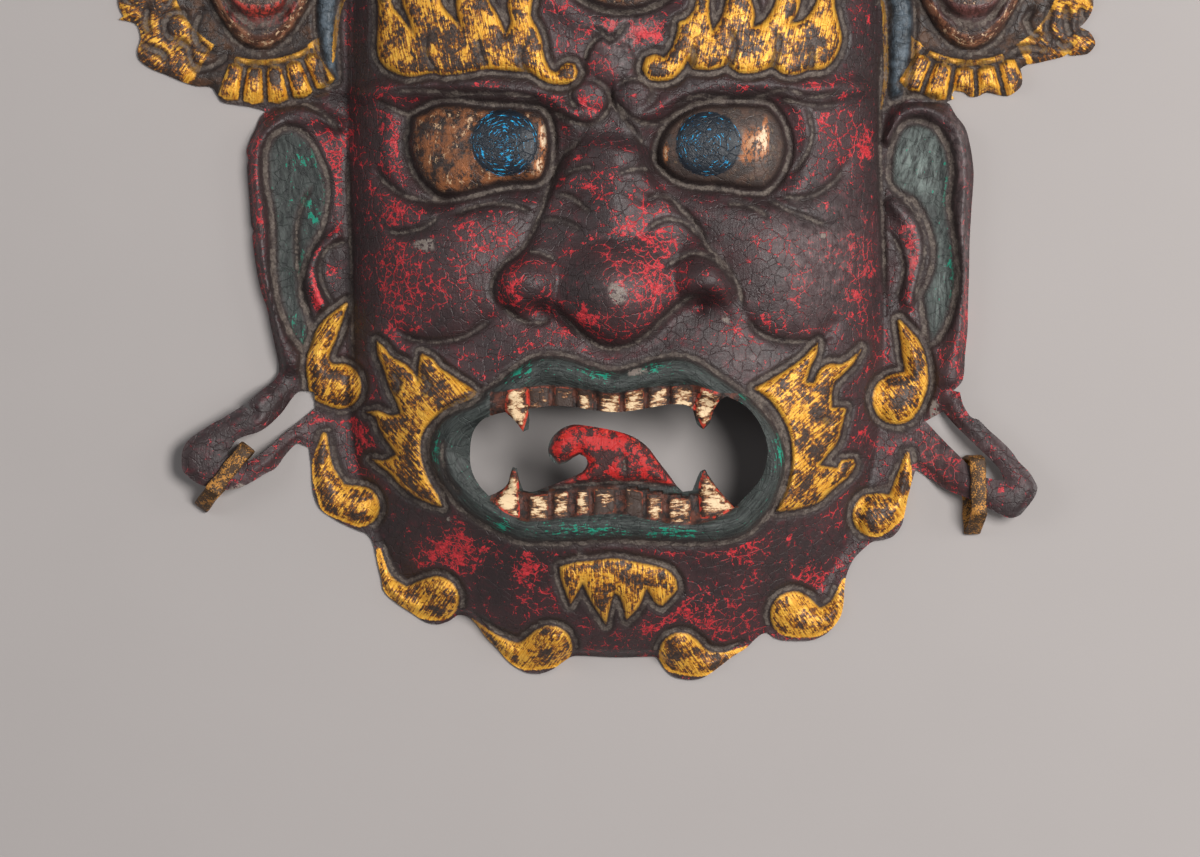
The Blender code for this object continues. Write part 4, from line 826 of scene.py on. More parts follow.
    def skull(self, own):
        """One skull's height, in its own frame."""
        narrow = SKULL_HALF_WIDTH * (1 - 0.16 * smooth(-own[:, 1] / SKULL_HALF_HEIGHT))
        out = np.hypot(own[:, 0] / narrow, own[:, 1] / SKULL_HALF_HEIGHT)
        height = SKULL_HEIGHT * np.clip(1 - out**2.6, 0, 1) ** 0.7
        for side in (-1, 1):
            height -= 4.0 * hump(own, side * SOCKET_X, SOCKET_Y, 4.6, 4.8) * (out < 1)
            height += 2.0 * hump(own, side * 10.4, -4.6, 4.6, 3.4) * (out < 1)
        height -= 3.0 * hump(own, 0, -3.6, 2.2, 3.8) * (out < 1)
        mouth = own[:, 1] + 16.8 - own[:, 0] ** 2 * 0.03
        height -= 1.6 * np.exp(-((mouth / 1.2) ** 2)) * smooth((10.5 - np.abs(own[:, 0])) / 2)
        rim = (1 - out) * SKULL_HALF_WIDTH
        lip = np.exp(-(((np.abs(mouth) - 2.6) / 1.5) ** 2)) * smooth((11.5 - np.abs(own[:, 0])) / 2)
        height += 0.9 * lip * (out < 1)
        height += self.chase(np.abs(rim + 1.0), 2.0, 0.9)
        height += 1.2 * np.exp(-(((rim - 1.8) / 1.2) ** 2)) * smooth(-(own[:, 1] + 6) / 4)
        height += self.chase(np.abs(rim - 5.0), 2.6, 1.5, smooth(-(own[:, 1] + 8) / 3))
        # The raised jaw ring's paint layer: worn cream and copper with a painted highlight along the ridge
        self.lay("skull_rim_paint_and_highlight", np.where(own[:, 1] < -6, 1.5 - np.abs(rim - 1.8), OUTSIDE))
        self.lay("skull", rim)
        lip = 3.6 - np.abs(mouth) - np.maximum(np.abs(own[:, 0]) - 9, 0)
        self.lay("skull_lip", np.where(out < 1, lip, OUTSIDE))
        socket = np.hypot(np.abs(own[:, 0]) - SOCKET_X, own[:, 1] - SOCKET_Y)
        self.lay("socket", 4.6 - np.minimum(socket, np.hypot(own[:, 0] * 1.6, own[:, 1] + 3.6) + 0.8))
        return height

    def fringe(self, own, lean, spacing):
        """The petals and the collar below one skull, in its own frame."""
        reach = np.hypot(own[:, 0], own[:, 1])
        down = np.degrees(np.arctan2(own[:, 0], -own[:, 1])) - lean
        place = down / spacing + PETALS_IN_FRINGE / 2
        beside = np.abs(place % 1.0 - 0.5)
        half = np.radians(spacing) * reach * 0.5
        length = 1 - np.abs(reach - FRINGE_RADIUS) / (PETAL_HALF_LENGTH + 0.4 - 2.2 * beside)
        within = (place > 0) & (place < PETALS_IN_FRINGE)
        depth = np.minimum((1 - 2 * beside) * half - 0.75, length * PETAL_HALF_LENGTH)
        depth = np.where(within, depth, OUTSIDE)
        height = PETAL_HEIGHT * smooth((depth + 0.3) / 1.6)
        self.lay("gold", depth)
        gap = within & (depth < 0.4) & (np.abs(reach - FRINGE_RADIUS) < PETAL_HALF_LENGTH + 2)
        self.groove = np.minimum(self.groove, np.where(gap, np.abs(depth + 0.7) - 0.6, 9))
        self.brush(within & (reach > 30) & (reach < 50), down * 0.7, reach)
        below = smooth((-own[:, 1] - 12) / 6) * smooth((26 - np.abs(down)) / 5)
        out = reach - COLLAR_RADIUS
        collar = np.exp(-((out / 1.2) ** 2)) * below
        self.lay("gold", np.where(below > 0.5, 0.9 - np.abs(out), OUTSIDE))
        for line in (1.5, -1.8):
            self.groove = np.minimum(self.groove, np.where(below > 0.4, np.abs(out - line) - 0.5, 9))
        return np.maximum(height, 1.6 * collar)

    def build(self):
        at = self.at
        self.inside = area_depth(at, whole_outline(), 12.0)
        rim = smooth(self.inside / 2.4)
        body = self.face_body()
        on_face = smooth(body / 9.0)
        off_face = 1 - smooth(body / 5.0)
        features = self.eyes() + self.nose() + self.lips_and_cheeks() + self.brows() + self.teeth()
        height = body + features * on_face
        plate = self.crown() + 1.7 * smooth((at[:, 1] - 17) / 3)
        height += (self.ears() * (at[:, 1] < 16) + plate * (at[:, 1] > 12)) * off_face
        height += self.gilt()
        broad = np.zeros(len(at))
        for width, fall, points in CREASES:
            distance, share = line_distance(at, curve(points), 8.0)
            fade = smooth(np.minimum(share, 1 - share) / 0.12)
            broad = np.minimum(broad, -fall * (0.25 + 0.75 * fade) * np.exp(-((distance / (width / 2)) ** 2)))
        lines = np.zeros(len(at))
        for drawn, width, fall, least in ((CHASED, 1.7, 0.85, 0.35), (LEAF_LINES, 2.6, 1.5, 0.5)):
            for points in drawn:
                distance, share = line_distance(at, curve(points), 5.0)
                fade = least + (1 - least) * smooth(np.minimum(share, 1 - share) / 0.14)
                lines = np.minimum(lines, self.chase(distance, width, fall, fade))
        height += broad + lines
        lobe = smooth((np.abs(at[:, 0]) - 97) / 6) * smooth((-72 - at[:, 1]) / 8)
        slots = [curve(drawn, closed=True) for drawn in (LEFT_SLOT, RIGHT_SLOT)]
        slot = np.minimum.reduce([-area_depth(at, ring) for ring in slots])
        height += 1.3 * lobe * smooth(np.minimum(self.inside, slot) / 3.4)
        lift = LOBE_LIFT * smooth((np.abs(at[:, 0]) - 100) / 17) * smooth((-66 - at[:, 1]) / 14)
        return np.maximum(height * rim, 0.0) + lift

    def finish(self):
        """Adds the spots, the painted sheen among them, and the grooves' dust and painted shade to the paint
        layers and gives them all.
        """
        for name, (patches, spread) in SPOTS.items():
            total = np.zeros(len(self.at))
            for x, y, half_x, half_y, *strength in patches:
                spot = hump(self.at, x, y, half_x * spread, half_y * spread)
                total = np.maximum(total, (strength or [1.0])[0] * spot)
            self.paint[name] = total
        self.paint["groove"] = -self.groove
        return self.paint


def hammered(at):
    """The slight unevenness of hand hammering, the same on every run."""
    return np.array([sum(noise.noise(Vector((x * scale, y * scale, level))) * height
                         for scale, level, height in HAMMERING) for x, y in at])


def sheet_grid(step, rings):
    """An even grid of staggered points over the outline's box, and how deep each is inside the sheet."""
    low, high = rings[0].min(0) - 2, rings[0].max(0) + 2
    nx, ny = ((high - low) / step).astype(int)
    column, row = np.meshgrid(np.arange(nx), np.arange(ny))
    x = low[0] + (column + 0.5 * (row % 2)) * step
    points = np.column_stack([x.ravel(), (low[1] + row * step).ravel()])
    return points, sheet_depth(points, rings, 6.0), column, row


def ring_edges(rings):
    """The pairs of numbers of neighbouring points, where the rings' points follow one another."""
    pairs, first = [], 0
    for ring in rings:
        pairs += [(first + i, first + (i + 1) % len(ring)) for i in range(len(ring))]
        first += len(ring)
    return pairs


def triangulate(points, rings):
    """Triangles between points, with the rings' edges kept, inside the outline and outside the holes."""
    flat, _, faces, *_ = delaunay_2d_cdt([Vector(p) for p in points], ring_edges(rings), [], 0, 1e-6)
    flat, faces = np.array([tuple(p) for p in flat]), np.array(faces)
    assert len(flat) == len(points)
    faces = faces[sheet_depth(flat[faces].mean(1), rings, 1.0) > 0]
    a, b, c = (flat[faces[:, i]] for i in range(3))
    cross = (b[:, 0] - a[:, 0]) * (c[:, 1] - a[:, 1]) - (b[:, 1] - a[:, 1]) * (c[:, 0] - a[:, 0])
    faces[cross < 0] = faces[cross < 0][:, ::-1]
    return flat, faces


def choose_points(rings):
    """The grid points that the front keeps: an even coarse set, and the rest where the relief bends most."""
    points, depth, column, row = sheet_grid(GRID, rings)
    wanted = Relief(points)
    z = wanted.height.reshape(column.shape)
    bend = np.zeros(z.shape)
    bend[1:-1] += np.abs(np.diff(z, 2, axis=0))
    bend[:, 1:-1] += np.abs(np.diff(z, 2, axis=1))
    for name in ("gold", "green", "eye", "tooth", "tongue"):
        bend += BORDER_WEIGHT * (np.abs(wanted.paint[name]) < 0.6).reshape(z.shape)
    bend += BORDER_WEIGHT * (np.abs(wanted.groove) < 0.8).reshape(z.shape)
    spread = bend.copy()
    for shift in (-1, 1):
        for axis in (0, 1):
            spread = np.maximum(spread, np.roll(bend, shift, axis))
    fourth, second = (((column % n == 0) & (row % n == 0)).ravel() for n in (4, 2))
    ok = depth > GRID * 0.55
    sure = ok & fourth
    rank = np.where(ok & ~sure, spread.ravel() + EVEN_WEIGHT * (ok & second), -1.0)
    chosen = np.argsort(-rank, kind="stable")[: FRONT_POINTS - int(sure.sum())]
    picked = sure.copy()
    picked[chosen] = ok[chosen]
    return points[picked]


def underside(back):
    """The height of the sheet's hollow side, where the sheet's thickness is measured across its slope."""
    slopes = [(Relief(back + way).height - Relief(back - way).height) / (2 * SLOPE_SPAN)
              for way in ((SLOPE_SPAN, 0), (0, SLOPE_SPAN))]
    steep = np.clip(np.sqrt(1 + slopes[0] ** 2 + slopes[1] ** 2), 1, STEEPEST)
    return np.maximum(Relief(back).height + THICKNESS - THICKNESS * steep, 0.0)


def placed(thing):
    """Puts an object in the scene."""
    bpy.context.scene.collection.objects.link(thing)
    return thing


def finished(mesh, sharp_angle):
    """Turns a closed mesh's faces outwards, smooths it but for its sharp edges, and puts it in the scene."""
    shape = bmesh.new()
    shape.from_mesh(mesh)
    bmesh.ops.recalc_face_normals(shape, faces=shape.faces)
    shape.to_mesh(mesh)
    shape.free()
    mesh.shade_smooth()
    mesh.set_sharp_from_angle(angle=math.radians(sharp_angle))
    return placed(bpy.data.objects.new(mesh.name, mesh))


def make_sheet(to_row):
    """The whole mask as one closed sheet, with its paint layers."""
    holes = [curve(drawn, closed=True, step=EDGE_STEP) for drawn in (MOUTH, LEFT_SLOT, RIGHT_SLOT)]
    rings = [whole_outline(), *holes]
    border = np.vstack(rings)
    front, faces = triangulate(np.vstack([border, choose_points(rings)]), rings)
    relief = Relief(front)
    paint = relief.finish()
    rimmed = smooth(area_depth(front, rings[0], 4.0) / 3.0)
    for hole in holes:
        rimmed *= smooth(-area_depth(front, hole, 4.0) / 3.0)
    top = np.maximum(relief.height + hammered(front) * rimmed, 0.0) + THICKNESS
    points, depth, _, _ = sheet_grid(BACK_GRID, rings)
    back, back_faces = triangulate(np.vstack([border, points[depth > BACK_GRID * 0.5]]), rings)

    count, edge = len(front), len(border)
    corners = np.vstack([np.column_stack([front, top]), np.column_stack([back, underside(back)])])
    walls = [(a, b, b + count, a + count) for a, b in ring_edges(rings)]
    polygons = faces.tolist() + (back_faces[:, ::-1] + count).tolist() + walls
    mesh = bpy.data.meshes.new("mask_relief")
    mesh.from_pydata([to_row(p) for p in corners], [], polygons)
    grain = mesh.attributes.new("strokes", "FLOAT_VECTOR", "POINT")
    flat = np.vstack([relief.strokes, back])
    grain.data.foreach_set("vector", np.column_stack([flat, flat[:, 0] * 0]).astype(np.float32).ravel())
    on_back = {"behind": np.ones(len(back))}
    for name, values in paint.items():
        on_back[name] = np.full(len(back), 0.0 if name in ("iris", *SPOTS) else OUTSIDE)
        on_back[name][:edge] = values[:edge]
    for name, values in on_back.items():
        layer = mesh.attributes.new(name, "FLOAT", "POINT")
        whole = np.concatenate([paint.get(name, np.zeros(count)), values])
        layer.data.foreach_set("value", whole.astype(np.float32))
    return finished(mesh, sharp_angle=60)


def strip_side(depth):
    """The side view of an earring: flat over the lobe, sloping to the table, and back to the slot below."""
    low, end = STRIP_FRONT + STRIP_DROP, 0.16 * depth
    return [(0, end), (end, 0), (low - end, 0), (low, end), (STRIP_FRONT, depth - 0.1 * end),
            (STRIP_FRONT - 3, depth), (end, depth), (0, depth - end)]


def make_earring(name, node, material, to_row, start, way, sideways, seed):
    """A bent strip with softened edges and small dents, looped round the lower arm of a lobe."""
    depth = LOBE_LIFT + THICKNESS + STRIP_CLEARANCE + STRIP_THICKNESS
    ring = curve(strip_side(depth), closed=True, step=0.6, corner=89.0)
    along = np.roll(ring, -1, 0) - np.roll(ring, 1, 0)
    inward = np.column_stack([-along[:, 1], along[:, 0]]) / np.hypot(*along.T)[:, None]
    down = np.array(way) / np.hypot(*way)
    across = np.array([down[1], -down[0]])
    half, thick, soft = STRIP_WIDTH / 2, STRIP_THICKNESS, STRIP_SOFTNESS
    section = [(-half + soft, 0), (0, -0.05), (half - soft, 0), (half, soft), (half, thick - soft),
               (half - soft, thick), (0, thick), (-half + soft, thick), (-half, thick - soft), (-half, soft)]
    corners = []
    for i, (u, v) in enumerate(ring):
        for w, t in section:
            dent = STRIP_DENT * noise.noise(Vector((u * 0.5 + seed, v * 0.5, w * 0.7 + t)))
            pressed = dent * (1 if t < thick / 2 else -1)
            pu, pv = np.array([u, v]) + inward[i] * (t + pressed * 0.6 + 0.05)
            side = w * (1 + 0.05 * math.sin(u * 0.8 + seed)) + sideways * (1 - v / depth)
            flat = np.array(start) + pu * down + side * across
            corners.append(to_row((*flat, max(pv, ABOVE_FLOOR))))
    n, m = len(ring), len(section)
    faces = [(i * m + j, i * m + (j + 1) % m, (i + 1) % n * m + (j + 1) % m, (i + 1) % n * m + j)
             for i in range(n) for j in range(m)]
    mesh = bpy.data.meshes.new(name)
    mesh.from_pydata(corners, [], faces)
    piece = finished(mesh, sharp_angle=50)
    piece.data.materials.append(material)
    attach(piece, "root")
    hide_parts(node)


def linear(red, green, blue):
    """A display colour of 0 to 255 a channel as the shader's linear one."""
    shares = (c / 255 for c in (red, green, blue))
    return (*(c / 12.92 if c <= 10 / 255 else ((c + 0.055) / 1.055) ** 2.4 for c in shares), 1.0)


class Value:
    """One number that a node gives, which the usual signs work on."""

    def __init__(self, paint, socket):
        self.paint, self.socket = paint, socket

    def __add__(self, other):
        return self.paint.math("ADD", self, other)

    def __sub__(self, other):
        return self.paint.math("SUBTRACT", self, other)

    def __mul__(self, other):
        return self.paint.math("MULTIPLY", self, other)


class Paint:
    """A small helper for building a material out of nodes."""

    def __init__(self, name):
        self.material = bpy.data.materials.new(name)
        self.material.use_nodes = True
        self.nodes = self.material.node_tree.nodes
        self.links = self.material.node_tree.links
        self.shader = self.nodes["Principled BSDF"]
        place = self.node("TexCoord", {}).outputs["Object"]
        self.place = self.node("VectorMath", {0: place, "Scale": MM_PER_METRE}, operation="SCALE").outputs[0]
        self.x = Value(self, self.node("SeparateXYZ", {0: self.place}).outputs["X"])

    def node(self, kind, inputs, **settings):
        """A new node with its settings, and its inputs by name or place."""
        made = self.nodes.new("ShaderNode" + kind)
        for name, value in settings.items():
            setattr(made, name, value)
        for socket, value in inputs.items():
            self.put(made.inputs[socket], value)
        return made

    def put(self, socket, value):
        value = getattr(value, "socket", value)
        if hasattr(value, "is_linked"):
            self.links.new(value, socket)
        else:
            socket.default_value = value

    def shade(self, name, value):
        self.put(self.shader.inputs[name], value)

    def math(self, operation, a, b):
        return Value(self, self.node("Math", {0: a, 1: b}, operation=operation).outputs[0])

    def ramp(self, value, low, high, to_low=0.0, to_high=1.0):
        """Runs smoothly from to_low to to_high as the value goes from low to high."""
        given = dict(enumerate((value, low, high, to_low, to_high)))
        return Value(self, self.node("MapRange", given, interpolation_type="SMOOTHSTEP").outputs[0])

    def mix(self, share, a, b):
        """A colour between two, each a node's or three display values of 0 to 255."""
        a, b = (linear(*c) if isinstance(c, tuple) else c for c in (a, b))
        made = self.node("Mix", {}, data_type="RGBA")
        for name, value in (("Factor", share), ("A", a), ("B", b)):
            self.put(made.inputs[name], value)
        return next(o for o in made.outputs if o.type == "RGBA")

    def blend(self, value, span, a, b):
        """A colour that goes from one to another as the value runs over a span, as ramp takes it."""
        return self.mix(self.ramp(value, *span), a, b)

    def layer(self, name):
        return Value(self, self.node("Attribute", {}, attribute_name=name).outputs["Fac"])

    def clouds(self, place, scale, detail, rough):
        made = self.node("TexNoise", {"Vector": place, "Scale": scale, "Detail": detail, "Roughness": rough})
        return Value(self, made.outputs["Fac"])

    def noise(self, size, detail=3.0, rough=0.6, stretch=(1, 1, 1), seed=0.0, twist=0.0):
        """Noise with features about size millimetres across."""
        given = {"Vector": self.place, "Location": (seed * 13.7, seed * 7.3, seed * 3.1),
                 "Rotation": (0, 0, math.radians(twist)), "Scale": stretch}
        return self.clouds(self.node("Mapping", given).outputs[0], 1.0 / size, detail, rough)

    def brushed(self, across, along, seed=0.0):
        """Streaks about so many millimetres wide and long, along the way the brush went."""
        way = self.node("Attribute", {}, attribute_name="strokes").outputs["Vector"]
        given = {"Vector": way, "Location": (seed * 5.1, seed * 3.7, seed),
                 "Scale": (1.0 / across, 1.0 / along, 1.0)}
        return self.clouds(self.node("Mapping", given).outputs[0], 1.0, 3.0, 0.65)

    def cells(self, size, wobble):
        """How far each point is from its cell's edge, in cells about size millimetres across."""
        swirl = self.node("TexNoise", {"Vector": self.place, "Scale": 1.0 / size, "Detail": 3.0})
        given = {0: swirl.outputs["Color"], 1: (wobble, wobble, wobble), 2: self.place}
        moved = self.node("VectorMath", given, operation="MULTIPLY_ADD").outputs[0]
        made = self.node("TexVoronoi", {"Vector": moved, "Scale": 1.0 / size}, feature="DISTANCE_TO_EDGE")
        return Value(self, made.outputs["Distance"])

    def bump(self, height, distance, strength=1.0):
        made = self.node("Bump", {"Strength": strength, "Distance": distance / MM_PER_METRE, "Height": height})
        self.shade("Normal", made.outputs[0])


def sheet_material():
    """The mask's paint: crackled lacquer, gilding, bone, jade and dust, with painted sheen, painted shade along
    the chased lines and a painted highlight on the skulls' jaw rings, placed by the layers of the mesh.
    """
    p = Paint("crackled_paint_on_copper")
    fine, middle, large = p.noise(0.8, 3, 0.7), p.noise(3.0, 4, 0.65, seed=1), p.noise(24, 3, 0.55, seed=2)
    blot = p.noise(5.0, 5, 0.72, seed=12)
    crack, small_crack = p.cells(4.2, 3.6), p.cells(2.1, 2.2)
    strokes = p.brushed(0.55, 5.0)
    groove = p.layer("groove") + (middle - 0.5) * 2.4

    # Dark lacquer with red left in the crackle and in worn patches, and a painted grey sheen over it in places
    dark = p.blend(large, (0.36, 0.62), (50, 38, 39), (68, 44, 46))
    dark = p.blend(fine, (0.35, 0.75, 0.0, 0.45), dark, (38, 28, 29))
    dark = p.blend(middle, (0.5, 0.72, 0.0, 0.7), dark, (86, 38, 44))
    worn = p.layer("ruddy") + p.ramp(large, 0.42, 0.62, 0.0, 0.65)
    near_crack = p.math("MAXIMUM", p.ramp(crack, 0.13, 0.0), p.ramp(small_crack, 0.14, 0.0, 0.0, 0.80))
    score = near_crack * 0.36 + middle * 0.55 + fine * 0.35 + worn * 0.17
    # Red is kept out of the chased lines' flanks, where painted shade lies
    score = score - p.ramp(groove, -1.4, -0.2, 0.0, 0.35)
    patch = blot * 0.75 + fine * 0.25 + p.layer("ruddy") * 0.13
    patch = patch - p.ramp(groove, -1.8, -0.2, 0.0, 0.2)
    red_share = p.math("MAXIMUM", p.ramp(score, 0.870, 0.900), p.ramp(patch, 0.620, 0.640))
    red = p.blend(p.noise(1.4, 3, 0.7, seed=14), (0.32, 0.58), (136, 32, 40), (216, 52, 60))
    base = p.mix(red_share, dark, red)
    base = p.blend(crack, (0.0, 0.020, 0.5, 0.0), base, (36, 27, 27))
    # Painted sheen: a grey reflection of the light laid over the lacquer where the sheen patches lie
    painted_sheen_grey = p.blend(strokes, (0.35, 0.65), (104, 88, 88), (150, 138, 136))
    base = p.mix(p.layer("pale") * p.ramp(middle, 0.3, 0.7), base, painted_sheen_grey)
    soot = p.blend(blot, (0.42, 0.62), (44, 33, 28), (84, 56, 38))
    base = p.blend(p.layer("soot"), (0.0, 2.0), base, soot)

    # Slate green of the lips and the ears' hollows, with a painted sheen and turquoise left in places
    slate = p.blend(strokes, (0.35, 0.65), (31, 35, 34), (62, 68, 65))
    # Painted sheen: a pale grey reflection of the light painted on the slate where the sheen patches lie
    sheen = p.layer("pale") * p.ramp(p.brushed(0.8, 7.0, seed=7), 0.38, 0.68)
    slate = p.mix(sheen, slate, (150, 164, 158))
    jade = strokes * 0.5 + p.noise(1.8, 4, 0.7, seed=5) * 0.5 + p.layer("jade") * 0.135
    green = p.blend(jade, (0.62, 0.64), slate, p.mix(fine, (0, 92, 74), (20, 168, 138)))
    green_on = p.ramp(p.layer("green") + fine, 0.3, 0.9)
    base = p.mix(green_on, base, green)

    # The mouth: gums, teeth and tongue
    gum = p.blend(middle, (0.42, 0.62), (40, 30, 27), (92, 50, 36))
    base = p.blend(p.layer("gum"), (-0.2, 0.2), base, gum)
    tooth, fang, in_tongue = p.layer("tooth"), p.layer("fang"), p.layer("tongue")
    ivory = p.noise(1.9, 4, 0.7, stretch=(0.45, 1.5, 1), seed=15) + tooth * 0.085
    ivory = ivory + (blot - 0.5) * 0.5 - p.layer("stain") * 0.20
    cream = p.blend(ivory, (0.53, 0.62), (58, 40, 31), (150, 96, 56))
    cream = p.blend(ivory, (0.60, 0.70), cream, (236, 206, 164))
    rusty = p.blend(blot, (0.50, 0.58), (56, 36, 28), (172, 70, 42))
    cream = p.blend(tooth, (0.75, 0.25, 0.0, 0.85), cream, rusty)
    fang_edge = p.ramp(fang, -0.6, 0.0) * p.ramp(fang, 1.3, 0.3)
    fang_edge = fang_edge * p.ramp(p.noise(2.4, 3, 0.6, seed=22), 0.46, 0.58)
    cream = p.mix(fang_edge, cream, (204, 62, 42))
    base = p.blend(tooth, (0.1, 0.4), base, cream)
    tongue = p.blend(blot + fine * 0.3, (0.61, 0.68), (190, 30, 28), (58, 27, 26))
    tongue = p.blend(middle + fine - in_tongue * 0.07, (0.94, 1.08), tongue, (212, 56, 38))
    tongue = p.blend(in_tongue, (1.0, 0.5, 0.0, 0.9), tongue, (46, 30, 28))
    base = p.blend(in_tongue, (-0.2, 0.2), base, tongue)

    # Eyes: brown and cream whites, greyer on the right, and irises with broken blue strokes
    white = p.blend(blot, (0.43, 0.60), (46, 35, 31), (138, 84, 48))
    flecks = p.noise(2.2, 5, 0.75, stretch=(1, 0.5, 1), twist=35, seed=3)
    white = p.blend(flecks, (0.57, 0.64), white, (212, 172, 132))
    lit = p.layer("lit") * p.ramp(p.noise(1.2, 3, 0.7, stretch=(1, 0.5, 1), seed=20), 0.36, 0.54)
    white = p.blend(p.x, (5.0, 12.0, 0.0, 0.85), white, p.mix(middle, (40, 37, 36), (92, 78, 72)))
    white = p.blend(lit, (0.1, 0.5), white, (178, 106, 56))
    white = p.blend(lit, (0.4, 0.75), white, (234, 206, 170))
    white = p.blend(p.layer("eye"), (2.5, 0.4), white, (48, 36, 33))
    iris = p.layer("iris")
    marks = p.brushed(0.55, 3.4, seed=6) + (blot - 0.5) * 0.5 - p.ramp(p.x, 5.0, 12.0, 0.0, 0.045)
    blue_share = p.ramp(marks, 0.585, 0.62) * p.ramp(iris, 1.0, 5.0, 0.6, 1.0)
    bright_blue = p.blend(fine, (0.4, 0.6), (0, 96, 150), (34, 184, 236))
    blue = p.mix(blue_share, p.mix(fine, (18, 22, 30), (28, 38, 48)), bright_blue)
    eye = p.blend(iris + (middle - 0.5) * 3.0, (11.2, 10.4), white, blue)
    base = p.blend(p.layer("eye"), (0.0, 0.4), base, eye)

    # Skulls, with a painted highlight on their jaw rings, their lips and the crown's slate blue band
    bone = p.blend(blot, (0.42, 0.60), (58, 42, 38), (122, 82, 62))
    bone = p.blend(middle + fine, (1.12, 1.26), bone, (206, 168, 132))
    base = p.blend(p.layer("skull"), (-0.3, 0.3), base, bone)
    # Painted highlight: cream and copper along the raised jaw ring, over its worn paint
    ring = p.blend(blot, (0.46, 0.56), (84, 54, 44), (150, 100, 74))
    ring = p.blend(p.noise(2.0, 4, 0.7, seed=21), (0.56, 0.62), ring, (222, 188, 152))
    base = p.blend(p.layer("skull_rim_paint_and_highlight"), (0.0, 0.6), base, ring)
    lip_red = p.blend(p.x, (40.0, 90.0), (186, 62, 50), (104, 62, 58))
    lip_marks = p.noise(1.4, 3, 0.7, stretch=(1, 0.4, 1), seed=16)
    lip = p.blend(lip_marks, (0.42, 0.58), (70, 38, 34), lip_red)
    base = p.blend(p.layer("skull_lip"), (-0.2, 0.4), base, lip)
    base = p.blend(p.layer("socket"), (-0.4, 0.8, 0.0, 0.85), base, (34, 26, 26))
    band = p.blend(middle, (0.35, 0.65), (40, 48, 54), (84, 96, 106))
    base = p.blend(p.layer("band"), (-0.2, 0.2), base, band)

    # Gilding, left along the edges and in streaks over dark brown
    leaf = p.layer("gold")
    left = strokes * 0.34 + p.noise(7.5, 4, 0.62, seed=18) * 0.50 + p.noise(1.3, 3, 0.7, seed=19) * 0.32
    left = left + p.ramp(leaf, 1.5, 0.3, 0.0, 0.09)
    brown = p.blend(fine, (0.35, 0.65), (42, 33, 30), (76, 56, 44))
    amber = p.mix(fine, (112, 64, 22), (178, 104, 24))
    bright = p.blend(strokes, (0.35, 0.65), (220, 144, 34), (252, 194, 76))
    gold_share = p.ramp(left, 0.588, 0.630)
    gold = p.mix(gold_share, p.blend(left, (0.545, 0.585), brown, amber), bright)
    gold_on = p.ramp(leaf + (fine - 0.5) * 1.2, -0.2, 0.2)
    base = p.mix(gold_on, base, gold)

    # Painted shade along the chased lines, dust in them, rubs to bare metal and the plain back
    # Painted shade: the paint is darkened along and in the chased lines
    base = p.blend(p.layer("groove"), (-1.3, 0.0, 0.0, 0.75), base, (46, 36, 34))
    dusty = p.blend(fine, (0.35, 0.65), (86, 76, 69), (124, 113, 104))
    base = p.mix(p.ramp(groove, 0.20, 0.75) * p.ramp(blot, 0.40, 0.58, 0.25, 0.85), base, dusty)
    rub = p.layer("rub") * p.ramp(p.noise(1.6, 4, 0.7, seed=17), 0.36, 0.50)
    base = p.blend(rub, (0.30, 0.55), base, (132, 120, 112))
    copper = p.blend(large, (0.4, 0.6), (96, 58, 44), (58, 40, 34))
    copper = p.blend(middle, (0.55, 0.7), copper, (76, 84, 74))
    p.shade("Base Color", p.mix(p.layer("behind"), base, copper))

    p.shade("Metallic", p.math("MAXIMUM", gold_on * gold_share * 0.25, p.layer("behind") * 0.7))
    rough = p.ramp(blot, 0.3, 0.7, 0.40, 0.58) + p.ramp(groove, -0.35, 0.35, 0.0, 0.25)
    p.shade("Roughness", rough + green_on * 0.14)
    rise = fine * 0.5 + p.ramp(crack, 0.0, 0.06) * 0.35 + middle * 0.8
    p.bump(rise + strokes * 0.4, 0.40, 0.8)
    return p.material


def strip_material():
    """Worn gilding on the earrings' strips."""
    p = Paint("worn_gilt_strip")
    fine, middle = p.noise(0.55, 3, 0.75, seed=8), p.noise(3.4, 4, 0.7, seed=9)
    dark = p.mix(fine, (44, 34, 27), (92, 66, 42))
    gold = p.mix(fine, (150, 92, 36), (224, 164, 84))
    share = p.ramp(middle * 0.5 + fine * 0.6, 0.55, 0.62)
    p.shade("Base Color", p.mix(share, dark, gold))
    p.shade("Metallic", p.ramp(share, 0, 1, 0.35, 0.6))
    p.shade("Roughness", p.ramp(fine, 0.3, 0.7, 0.42, 0.62))
    p.bump(fine + middle, 0.25, 0.8)
    return p.material


def make_stage(view_middle):
    """The pale paper that the mask lies on."""
    x, y = view_middle
    ways = ((-1, -1), (1, -1), (1, 1), (-1, 1))
    corners = [(x + FLOOR_HALF * right, y + FLOOR_HALF * up, 0) for right, up in ways]
    mesh = bpy.data.meshes.new("floor")
    mesh.from_pydata(corners, [], [(0, 1, 2, 3)])
    floor = placed(bpy.data.objects.new("floor", mesh))
    p = Paint("pale_paper_floor")
    p.shade("Base Color", p.mix(p.noise(60, 2, 0.5, seed=11), (168, 162, 160), (172, 166, 164)))
    p.shade("Roughness", 0.9)
    p.bump(p.noise(0.8, 2, 0.6, seed=12), 0.05, 0.3)
    floor.data.materials.append(p.material)


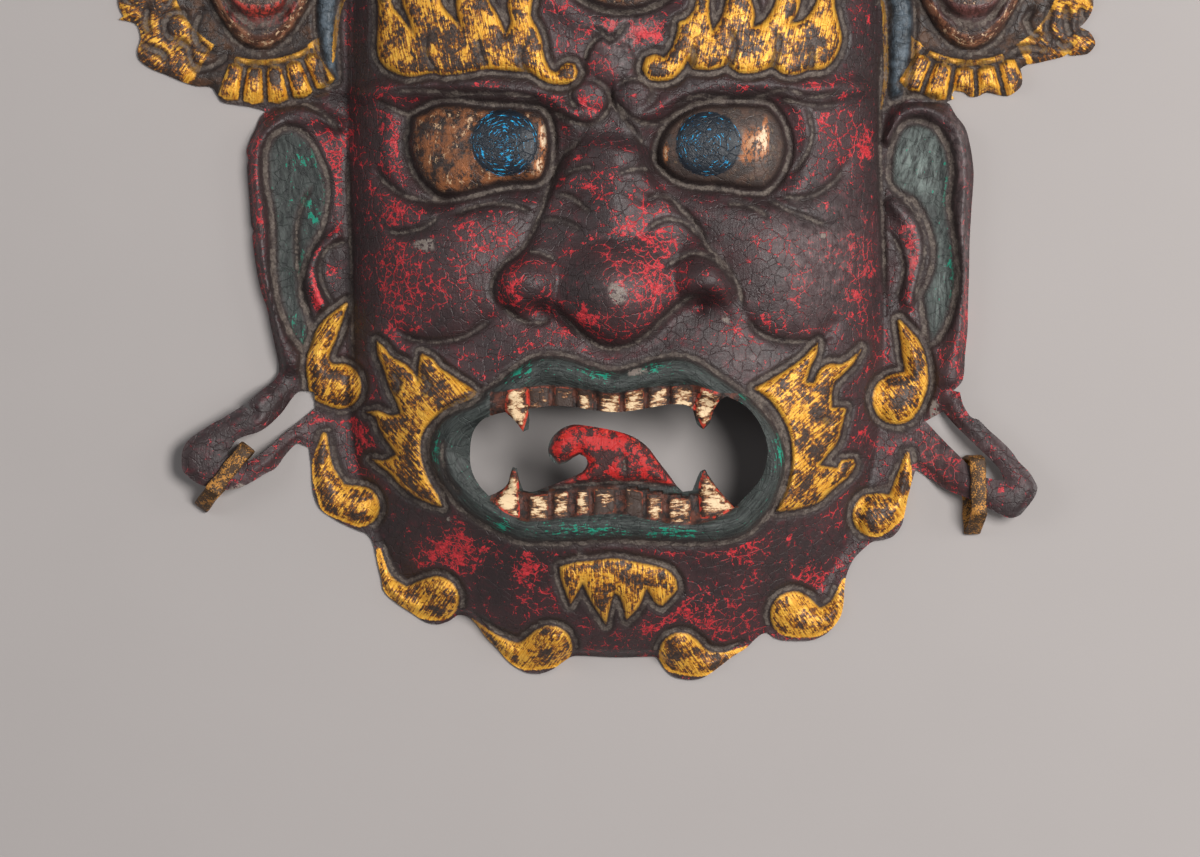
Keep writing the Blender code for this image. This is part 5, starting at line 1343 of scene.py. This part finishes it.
def add_light(name, place, size, power, colour):
    """A round area light that looks at the mask."""
    light = bpy.data.lights.new(name, "AREA")
    light.shape = "DISK"
    light.size = size
    light.energy = power
    light.color = colour
    lamp = placed(bpy.data.objects.new(name, light))
    lamp.location = place
    lamp.rotation_euler = (Vector(LIT_SPOT) - Vector(place)).to_track_quat("-Z", "Y").to_euler()


def make_camera(view_middle, scale):
    """Looks straight down on the mask, with the photo's scale at the face's level."""
    camera = bpy.data.cameras.new("camera")
    camera.sensor_width = SENSOR_WIDTH
    camera.lens = SENSOR_WIDTH * (CAMERA_DISTANCE - FACE_LEVEL) / (PHOTO_SIZE[0] * MM_PER_PIXEL * scale)
    camera.clip_end = 10.0
    eye = placed(bpy.data.objects.new("camera", camera))
    eye.location = (*view_middle, CAMERA_DISTANCE)
    bpy.context.scene.camera = eye


def main():
    low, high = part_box("mask_sheet")
    scale = (high[0] - low[0]) / (DRAWN_RIGHT + DRAWN_LEFT)
    shift = (low[0] + DRAWN_LEFT * scale, low[1] + DRAWN_BOTTOM * scale)

    def to_row(point):
        return (point[0] * scale + shift[0], point[1] * scale + shift[1], point[2] * scale)

    sheet = make_sheet(to_row)
    sheet.data.materials.append(sheet_material())
    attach(sheet, "root")
    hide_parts("mask_sheet")
    gilt = strip_material()
    make_earring("left_strip", "left_earring", gilt, to_row, *LEFT_STRIP, 1.0)
    make_earring("right_strip", "right_earring", gilt, to_row, *RIGHT_STRIP, 5.0)

    middle_x = (PHOTO_SIZE[0] / 2 - ORIGIN_PIXEL[0]) * MM_PER_PIXEL
    middle_y = (ORIGIN_PIXEL[1] - PHOTO_SIZE[1] / 2) * MM_PER_PIXEL
    view_middle = to_row((middle_x, middle_y, 0))[:2]
    make_stage(view_middle)
    make_camera(view_middle, scale)
    for light in LIGHTS:
        add_light(*light)
    world = bpy.data.worlds.new("soft_room")
    world.use_nodes = True
    world.node_tree.nodes["Background"].inputs["Color"].default_value = ROOM_COLOUR
    world.node_tree.nodes["Background"].inputs["Strength"].default_value = ROOM_STRENGTH
    bpy.context.scene.world = world
    bpy.context.scene.view_settings.view_transform = "Standard"


main()
